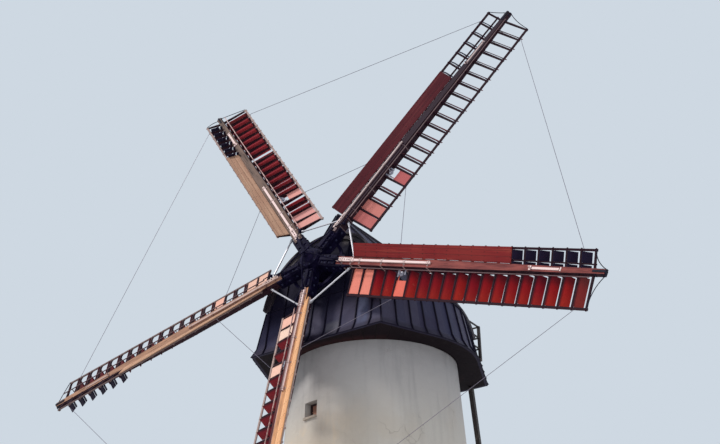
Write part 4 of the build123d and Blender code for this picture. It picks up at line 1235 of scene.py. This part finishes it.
class WINDMILL_OT_cap_frame(Operator):
    """Finish the timbers that carry the shaft inside the cap"""
    bl_idname = "windmill.cap_frame"
    bl_label = "Cap frame"

    def execute(self, context):
        oak = tarred_finish("cap_oak", tone(86, 66, 50), 0.45)
        paint(oak, "cap_timbers", "cap_ring", "neck_bearing", "tail_bearing")
        return {"FINISHED"}


class WINDMILL_OT_stocks(Operator):
    """Finish the stocks and clamp bars, with their collars, bolts and plates"""
    bl_idname = "windmill.stocks"
    bl_label = "Stocks and clamps"

    def execute(self, context):
        paint(stock_finish("stock_timber", context.scene.windmill_sails.stock_colour), "sail_stocks")
        cream = cream_finish("cream_paint", tone(216, 188, 188))
        paint(cream, "clamp_bars")
        collars, bolts, plates = Shape(), Shape(), Shape()
        for sail in map(sail_matrix, range(SAILS)):
            for r in COLLARS:
                self.collar(sail, r, collars, bolts)
            for r in CLAMP_BOLTS:
                bolts.bolt(moved(sail, r, 0, STOCK / 2 + CLAMP_STOUT[1]), 0.013)
            self.tip_plate(sail, plates)
        collars.piece("clamp_collars", "sails", "cream_paint", cream)
        bolts.piece("clamp_bolts", "sails", "black_iron", iron_finish("bolt_iron", tone(52, 44, 50)))
        plates.piece("stock_plates", "sails", "cream_paint", cream)
        return {"FINISHED"}

    def collar(self, sail, r, collars, bolts):
        """A strap over the clamp bar with a bolted foot on each side, and two straps on the stock."""
        width, depth = CLAMP_STOUT if r < CLAMP_STEP else CLAMP_SLIM
        half = stock_half(r)
        parts = [((r, 0, half + depth + 0.004), (0.046, width + 0.024, 0.008)),
                 ((r, 0, -half - 0.003), (0.040, 2 * half + 0.012, 0.006)),
                 ((r, -half - 0.003, 0), (0.040, 0.006, 2 * half))]
        for side in (-1, 1):
            edge = width / 2
            parts += [((r, side * (edge + 0.006), half + depth / 2 + 0.001), (0.046, 0.008, depth + 0.006)),
                      ((r, side * (edge + 0.030), half + 0.004), (0.046, 0.048, 0.008))]
            bolts.bolt(moved(sail, r, side * (edge + 0.032), half + 0.008), 0.009)
        collars.blocks(sail, 0.002, *parts)

    def tip_plate(self, sail, plates):
        """A long pale plate on the stock's front near its tip, with a bracket at its inner end."""
        lean = Matrix.Rotation(math.atan(STOCK_SLOPE), 4, "Y")
        for r, size, lift in TIP_PLATES:
            plates.block(moved(sail, r, 0, stock_half(r) + lift) @ lean, size, 0.003)


class WINDMILL_OT_lattice(Operator):
    """Finish the rails and bars, with the bars' ends past the rails"""
    bl_idname = "windmill.lattice"
    bl_label = "Sail lattice"

    def execute(self, context):
        lattice = lattice_finish("lattice_paint", tone(40, 14, 28), tone(208, 182, 176))
        peg = context.scene.windmill_sails.peg_length
        for index in range(SAILS):
            paint(lattice, f"sail_{index + 1}_frame")
            pegs = Shape()
            for side, r in product((-1, 1), bar_radii()):
                reach = edge_point(side, r)[0]
                place = bay_matrix(sail_matrix(index), side, r)
                end = moved(place, 0, side * (reach + peg / 2 - 0.003), 0)
                pegs.block(end, (BAR * 0.8, peg + 0.006, 0.028))
                cleat = moved(place, 0, side * (reach - RAIL / 2), -0.030)
                pegs.block(cleat, (0.050, RAIL * 0.9, 0.030), 0.006)
            pegs.piece(f"sail_{index + 1}_bar_ends", "sails", "frame_timber", lattice)
        return {"FINISHED"}


class WINDMILL_OT_boards(Operator):
    """Finish the leading boards, with the nails that hold them"""
    bl_idname = "windmill.boards"
    bl_label = "Leading boards"

    def execute(self, context):
        settings = context.scene.windmill_sails
        paint(board_finish("board_stain", settings.board_red, settings.board_tan), "leading_boards")
        nails = Shape()
        for sail, r in product(map(sail_matrix, range(SAILS)), bar_radii()[:BOARD_BAYS + 1]):
            outer, weather = edge_point(1, r)
            inner = stock_half(r) * (math.cos(weather) + math.sin(weather))
            for share in NAIL_SHARES:
                across = inner + share * (outer - inner)
                nails.bolt(moved(bay_matrix(sail, 1, r), 0, across, BOARD_FRONT), 0.007)
        nails.piece("board_nails", "sails", "black_iron", iron_finish("nail_iron", tone(60, 44, 42)))
        return {"FINISHED"}


class WINDMILL_OT_shutters(Operator):
    """Finish the shutters and the rods that link them"""
    bl_idname = "windmill.shutters"
    bl_label = "Shutters"

    def execute(self, context):
        settings = context.scene.windmill_sails
        finish = shutter_finish("shutter_paint", settings.shutter_red, settings.shutter_pale_and_lit)
        paint(link_finish("link_paint", tone(70, 34, 44)), "shutter_rods")
        levers = Shape()
        for index, (turn, head, tail) in enumerate(SHUTTER_STANCE):
            paint(finish, f"sail_{index + 1}_shutters")
            sail = sail_matrix(index)
            boards = Shape()
            for bay in range(BAYS):
                stance = (math.radians(turn), SLACK_HEAD if (index, bay) == SLACK_SHUTTER else head, tail)
                self.trailing_shutter(sail, bay, boards, *stance)
                if bay >= BOARD_BAYS:
                    self.leading_shutter(sail, bay, boards, *stance)
            piece = boards.piece(f"sail_{index + 1}_shutter_boards", "sails", "shutter_red", finish)
            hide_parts(f"sail_{index + 1}_shutters")
            self.lever(sail, levers)
        levers.piece("shutter_levers", "sails", "grey_iron", rod_finish("lever_paint", tone(134, 134, 150)))
        return {"FINISHED"}

    def trailing_shutter(self, sail, bay, boards, turn, head, tail):
        """A shutter with its crank to the link rod, unless it is a closed one."""
        place, root, end = self.pin_place(sail, -1, bay)
        first, last = root + 0.014, end - 0.006
        if bay in SHUT_BAYS:
            turn, head, tail = 0.0, SHUTTER_PIN - BAR / 2 - 0.002, SHUTTER_SHUT
            first, last = root + (0.300 if bay == LEVER_BAY else 0.030), end - 0.012
        self.board(place, -1, boards, turn, (head, tail), first, last)
        self.pin(place, -1, boards, root, end)
        if bay not in SHUT_BAYS:
            crank = moved(place, 0, -LINK_REACH, 0) @ Matrix.Rotation(turn, 4, "Y")
            length = LINK_LIFT / math.sin(turn)
            boards.block(moved(crank, -length / 2, 0, 0), (length, 0.010, 0.026), 0.002)

    def leading_shutter(self, sail, bay, boards, turn, head, tail):
        """A short shutter past the leading board, with a second one beside the stock."""
        place, root, end = self.pin_place(sail, 1, bay)
        self.board(place, 1, boards, turn, (head, tail), root + LATH_REACH + 0.003, end - 0.006)
        lath = moved(place @ Matrix.Rotation(turn, 4, "Y"), (tail - head) / 2, root + 0.047, 0)
        boards.block(lath, (tail + head, LATH_WIDTH, SHUTTER_THICKNESS), 0.003)
        self.pin(place, 1, boards, root, end)

    def pin_place(self, sail, side, bay):
        """The place of a bay's pin, near its inner bar, and how far out the pin starts and ends."""
        centre = HEEL + (bay + 0.5) * PITCH
        outer, weather = edge_point(side, centre)
        place = moved(bay_matrix(sail, side, centre), SHUTTER_PIN - PITCH / 2, 0, 0)
        return place, stock_half(centre) / math.cos(weather), outer - RAIL

    def pin(self, place, side, boards, root, end):
        ends = sorted((side * (root + 0.002), side * (end - 0.002)))
        boards.tube(placed(place, [(0, y, 0) for y in ends]), 0.012)

    def board(self, place, side, boards, turn, reach, first, last):
        """A board from first to last along the pin, with two battens behind it."""
        head, tail = reach
        leaf = moved(place @ Matrix.Rotation(turn, 4, "Y"), (tail - head) / 2, 0, 0)
        boards.block(moved(leaf, 0, side * (first + last) / 2, 0),
                     (tail + head, last - first, SHUTTER_THICKNESS), 0.003)
        for y in (first + BATTEN_INSET, last - BATTEN_INSET):
            boards.block(moved(leaf, 0, side * y, -0.014), (tail + head - 0.03, 0.036, 0.010), 0.003)

    def lever(self, sail, levers):
        """The crank that works the link rod, on a bracket beside the stock at the fifth bay."""
        r = HEEL + LEVER_BAY * PITCH
        place = moved(bay_matrix(sail, -1, r), 0, -stock_half(r), 0)
        levers.blocks(place, 0.003,
                      ((0.170, -0.130, 0.030), (0.260, 0.034, 0.020)),
                      ((0.060, -0.110, 0.044), (0.050, 0.220, 0.016)),
                      ((0.280, -0.080, 0.044), (0.050, 0.150, 0.016)))
        levers.lathe(moved(place, 0.170, -0.130, 0.034),
                     [(0.060, 0.0), (0.070, 0.01), (0.070, 0.03), (0.045, 0.04), (0.02, 0.05)], 16)
        end = (0.20, stock_half(r) - LINK_REACH - 0.016, LINK_LIFT)
        levers.tube(placed(place, [(0.17, -0.13, 0.07), (0.18, -0.10, 0.13), end]), 0.013)
        for y in (-0.03, -0.19):
            levers.bolt(moved(place, 0.060, y, 0.052), 0.013)


class WINDMILL_OT_hub(Operator):
    """Finish the shaft and cross, with the spider, cranks, bolts and flanges"""
    bl_idname = "windmill.hub"
    bl_label = "Hub"

    def execute(self, context):
        settings = context.scene.windmill_hub
        iron = iron_finish("hub_iron", settings.iron_colour)
        paint(iron, "windshaft", "iron_cross")
        hub = moved(sail_matrix(0), 0, 0, CROSS_FRONT)
        fittings, bolts = Shape(), Shape()
        fittings.lathe(hub, HUB_PROFILE, 32)
        for angle in circle(HUB_BOLTS):
            bolts.bolt(moved(hub @ Matrix.Rotation(angle + 0.3, 4, "Z"), HUB_BOLT_CIRCLE, 0, 0.035), 0.016)
        for sail in map(sail_matrix, range(SAILS)):
            self.root(sail, fittings, bolts, settings.bolt_size)
            self.spider_arm(sail, fittings)
            self.heel_crank(sail, fittings)
        fittings.piece("hub_fittings", "sails", "black_iron", iron)
        # The bolts' blue-grey is partly painted highlight, for the glints on the dark hub
        bolts.piece("hub_bolts", "sails", "black_iron", iron_finish("hub_bolt_iron", tone(48, 50, 74)))
        return {"FINISHED"}

    def root(self, sail, fittings, bolts, size):
        """The iron round a stock's root: a ribbed cover in front, cheeks at the sides and their bolts."""
        cover = moved(sail, 0, 0, STOCK / 2)
        fittings.block(moved(cover, 0.690, 0, 0.012), (0.640, 0.300, 0.024), 0.005)
        fittings.block(moved(cover, 0.700, 0, 0.044), (0.620, 0.110, 0.060), 0.010)
        for r in COVER_RIBS:
            fittings.block(moved(cover, r, 0, 0.034), (0.030, 0.280, 0.040), 0.006)
        for r, side in product(COVER_BOLTS, (-1, 1)):
            bolts.bolt(moved(cover, r, side * 0.100, 0.024), 0.015)
        for side in (-1, 1):
            outward = Matrix.Rotation(-side * math.pi / 2, 4, "X")
            fittings.blocks(sail, 0.006,
                            ((CHEEK_MIDDLE, side * 0.184, -0.158), (0.64, 0.022, 0.040)),
                            ((CHEEK_MIDDLE, side * 0.184, 0.100), (0.64, 0.020, 0.036)))
            for r in CHEEK_BOLTS:
                bolts.bolt(moved(sail, r, side * 0.1755, -0.03) @ outward, size)
        bolts.bolt(moved(sail, 0.81, 0.10, -0.300) @ Matrix.Rotation(math.pi, 4, "X"), size)

    def spider_arm(self, sail, fittings):
        """A curved arm from the striking rod's head to a foot on the clamp bar."""
        head = SPIDER_HEAD
        fittings.tube(placed(sail, [(0.05, 0, head), (0.22, -0.01, head - 0.01), (0.40, -0.02, head - 0.05),
                                    (0.58, -0.03, head - 0.12), (0.76, -0.03, head - 0.19),
                                    (0.92, -0.02, head - 0.24), (1.08, -0.01, 0.215)]), 0.018)
        fittings.block(moved(sail, 1.07, 0, 0.200), (0.070, 0.090, 0.030), 0.006)

    def heel_crank(self, sail, fittings):
        """The crank that the arm works at the sail's heel, on its boss."""
        r, y = HEEL_BOSS
        boss = moved(sail, r, y, 0.120)
        fittings.lathe(boss, [(0.03, 0.0), (0.042, 0.01), (0.042, 0.05), (0.03, 0.06)], 14)
        fittings.block(moved(boss, 0, 0.035, -0.020), (0.050, 0.090, 0.040), 0.006)
        fittings.tube(placed(sail, [(1.10, -0.03, 0.215), (1.24, -0.12, 0.20), (r, y, 0.175),
                                    (1.50, y, 0.175), (1.62, -0.185, 0.180)]), 0.013)


class WINDMILL_OT_rods(Operator):
    """Finish the tie rods and stay wires, with the rods' eyes"""
    bl_idname = "windmill.rods"
    bl_label = "Rods and wires"

    def execute(self, context):
        grey = rod_finish("tie_paint", tone(196, 196, 206))
        paint(grey, "tie_rods")
        paint(rod_finish("wire_steel", tone(84, 74, 96)), "stay_wires")
        eyes = Shape()
        for index in range(SAILS):
            start = sail_matrix(index) @ Vector((TIE_ROD, STOCK / 2, 0))
            end = sail_matrix((index + 1) % SAILS) @ Vector((TIE_ROD, -STOCK / 2, 0))
            along = (end - start).normalized()
            flip = Matrix.Rotation(math.pi, 4, "X")
            for place in (Matrix.Translation(start + along * 0.05) @ aimed(along),
                          Matrix.Translation(end - along * 0.05) @ aimed(along) @ flip):
                eyes.lathe(place, [(0.034, 0.0), (0.040, 0.01), (0.040, 0.09), (0.027, 0.12)], 14)
        eyes.piece("tie_ends", "sails", "grey_iron", grey)
        return {"FINISHED"}


class WINDMILL_OT_tips(Operator):
    """Finish the irons at the stocks' tips"""
    bl_idname = "windmill.tips"
    bl_label = "Tip irons"

    def execute(self, context):
        iron = iron_finish("tip_iron", tone(32, 34, 44))
        paint(iron, "tip_irons")
        bands = Shape()
        for sail, r in product(map(sail_matrix, range(SAILS)), TIP_BANDS):
            half = stock_half(r)
            bands.blocks(sail, 0.001,
                         ((r, 0, -half - 0.003), (0.045, 2 * half, 0.006)),
                         ((r, half + 0.003, 0), (0.045, 0.006, 2 * half)),
                         ((r, -half - 0.003, 0), (0.045, 0.006, 2 * half)))
        bands.piece("tip_bands", "sails", "black_iron", iron)
        return {"FINISHED"}


class WINDMILL_OT_stage(Operator):
    """Set the floor, lamps, sky and camera"""
    bl_idname = "windmill.stage"
    bl_label = "Stage"

    def execute(self, context):
        settings = context.scene.windmill_stage
        scene = context.scene
        scene.view_settings.view_transform = "Standard"
        self.floor(scene, settings)
        self.sky(scene, settings)
        self.lamps(scene, settings)
        self.camera(scene)
        return {"FINISHED"}

    def floor(self, scene, settings):
        """A plain pale disc that takes the mill's shadow."""
        mesh = bpy.data.meshes.new("floor")
        ring = [(settings.floor_radius * math.cos(a), settings.floor_radius * math.sin(a), -0.002)
                for a in circle(96)]
        mesh.from_pydata(ring, [], [list(range(len(ring)))])
        f = Finish("floor_plain")
        colour = f.mix(f.noise(0.4) * 0.2, tone(214, 214, 210), tone(200, 200, 198))
        mesh.materials.append(f.finish(colour, 0.9))
        obj = bpy.data.objects.new("floor", mesh)
        scene.collection.objects.link(obj)

    def sky(self, scene, settings):
        """Soft light from all round, and the backdrop where the camera, glass or gloss looks past it."""
        world = bpy.data.worlds.new("sky")
        scene.world = world
        world.use_nodes = True
        sky = Nodes(world.node_tree)
        camera, glass, gloss = (sky.node("ShaderNodeLightPath", {}, {}, f"Is {ray} Ray")
                                for ray in ("Camera", "Transmission", "Glossy"))
        light = sky.node("ShaderNodeBackground", {}, {"Color": SKY_LIGHT, "Strength": settings.sky_strength})
        shown = sky.node("ShaderNodeBackground", {}, {"Color": settings.sky_colour, "Strength": 1.0})
        mixed = sky.node("ShaderNodeMixShader", {}, {0: camera.most(glass).most(gloss), 1: light, 2: shown})
        sky.node("ShaderNodeOutputWorld", {}, {"Surface": mixed}, None)

    def lamps(self, scene, settings):
        for name, aim, share, spread, colour in LAMPS:
            lamp = bpy.data.lights.new(name, "SUN")
            lamp.energy = settings.sun_strength * share
            lamp.angle = math.radians(spread)
            lamp.color = colour
            obj = bpy.data.objects.new(name, lamp)
            obj.rotation_euler = Vector(aim).to_track_quat("-Z", "Y").to_euler()
            scene.collection.objects.link(obj)

    def camera(self, scene):
        """The camera, turned by its yaw, pitch and roll."""
        lens = bpy.data.cameras.new("camera")
        lens.lens = CAMERA_LENS
        lens.sensor_width = 36
        lens.sensor_fit = "HORIZONTAL"
        lens.clip_end = 500
        yaw, pitch, roll = (math.radians(a) for a in CAMERA_AIM)
        ahead = Vector((math.sin(yaw) * math.cos(pitch), math.cos(yaw) * math.cos(pitch), math.sin(pitch)))
        level = Vector((math.cos(yaw), -math.sin(yaw), 0))
        upright = level.cross(ahead)
        right = level * math.cos(roll) + upright * math.sin(roll)
        up = upright * math.cos(roll) - level * math.sin(roll)
        obj = bpy.data.objects.new("camera", lens)
        turn = Matrix((right, up, -ahead)).transposed().to_4x4()
        obj.matrix_world = Matrix.Translation(CAMERA_PLACE) @ turn
        scene.collection.objects.link(obj)
        scene.camera = obj


class WINDMILL_PT_looks(Panel):
    """Sizes, colours and pieces of the windmill's looks"""
    bl_idname = "WINDMILL_PT_looks"
    bl_label = "Windmill looks"
    bl_space_type = "VIEW_3D"
    bl_region_type = "UI"
    bl_category = "Windmill"

    def draw(self, context):
        for name, group in GROUPS.items():
            box = self.layout.box()
            settings = getattr(context.scene, name)
            for key in group.__annotations__:
                box.prop(settings, key)
        for operator in OPERATORS:
            self.layout.operator(operator.bl_idname)


GROUPS = {
    "windmill_tower": WindmillTower,
    "windmill_cap": WindmillCap,
    "windmill_sails": WindmillSails,
    "windmill_hub": WindmillHub,
    "windmill_stage": WindmillStage,
}
OPERATORS = (
    WINDMILL_OT_tower, WINDMILL_OT_windows, WINDMILL_OT_door, WINDMILL_OT_cap, WINDMILL_OT_gallery,
    WINDMILL_OT_cap_frame, WINDMILL_OT_stocks, WINDMILL_OT_lattice, WINDMILL_OT_boards, WINDMILL_OT_shutters,
    WINDMILL_OT_hub, WINDMILL_OT_rods, WINDMILL_OT_tips, WINDMILL_OT_stage,
)


def register():
    for group in GROUPS.values():
        bpy.utils.register_class(group)
    for name, group in GROUPS.items():
        setattr(bpy.types.Scene, name, PointerProperty(type=group))
    for operator in OPERATORS:
        bpy.utils.register_class(operator)
    bpy.utils.register_class(WINDMILL_PT_looks)


def unregister():
    bpy.utils.unregister_class(WINDMILL_PT_looks)
    for operator in reversed(OPERATORS):
        bpy.utils.unregister_class(operator)
    for name in GROUPS:
        delattr(bpy.types.Scene, name)
    for group in reversed(GROUPS.values()):
        bpy.utils.unregister_class(group)


def main():
    register()
    for operator in OPERATORS:
        group, name = operator.bl_idname.split(".")
        getattr(getattr(bpy.ops, group), name)()


if __name__ == "__main__":
    main()
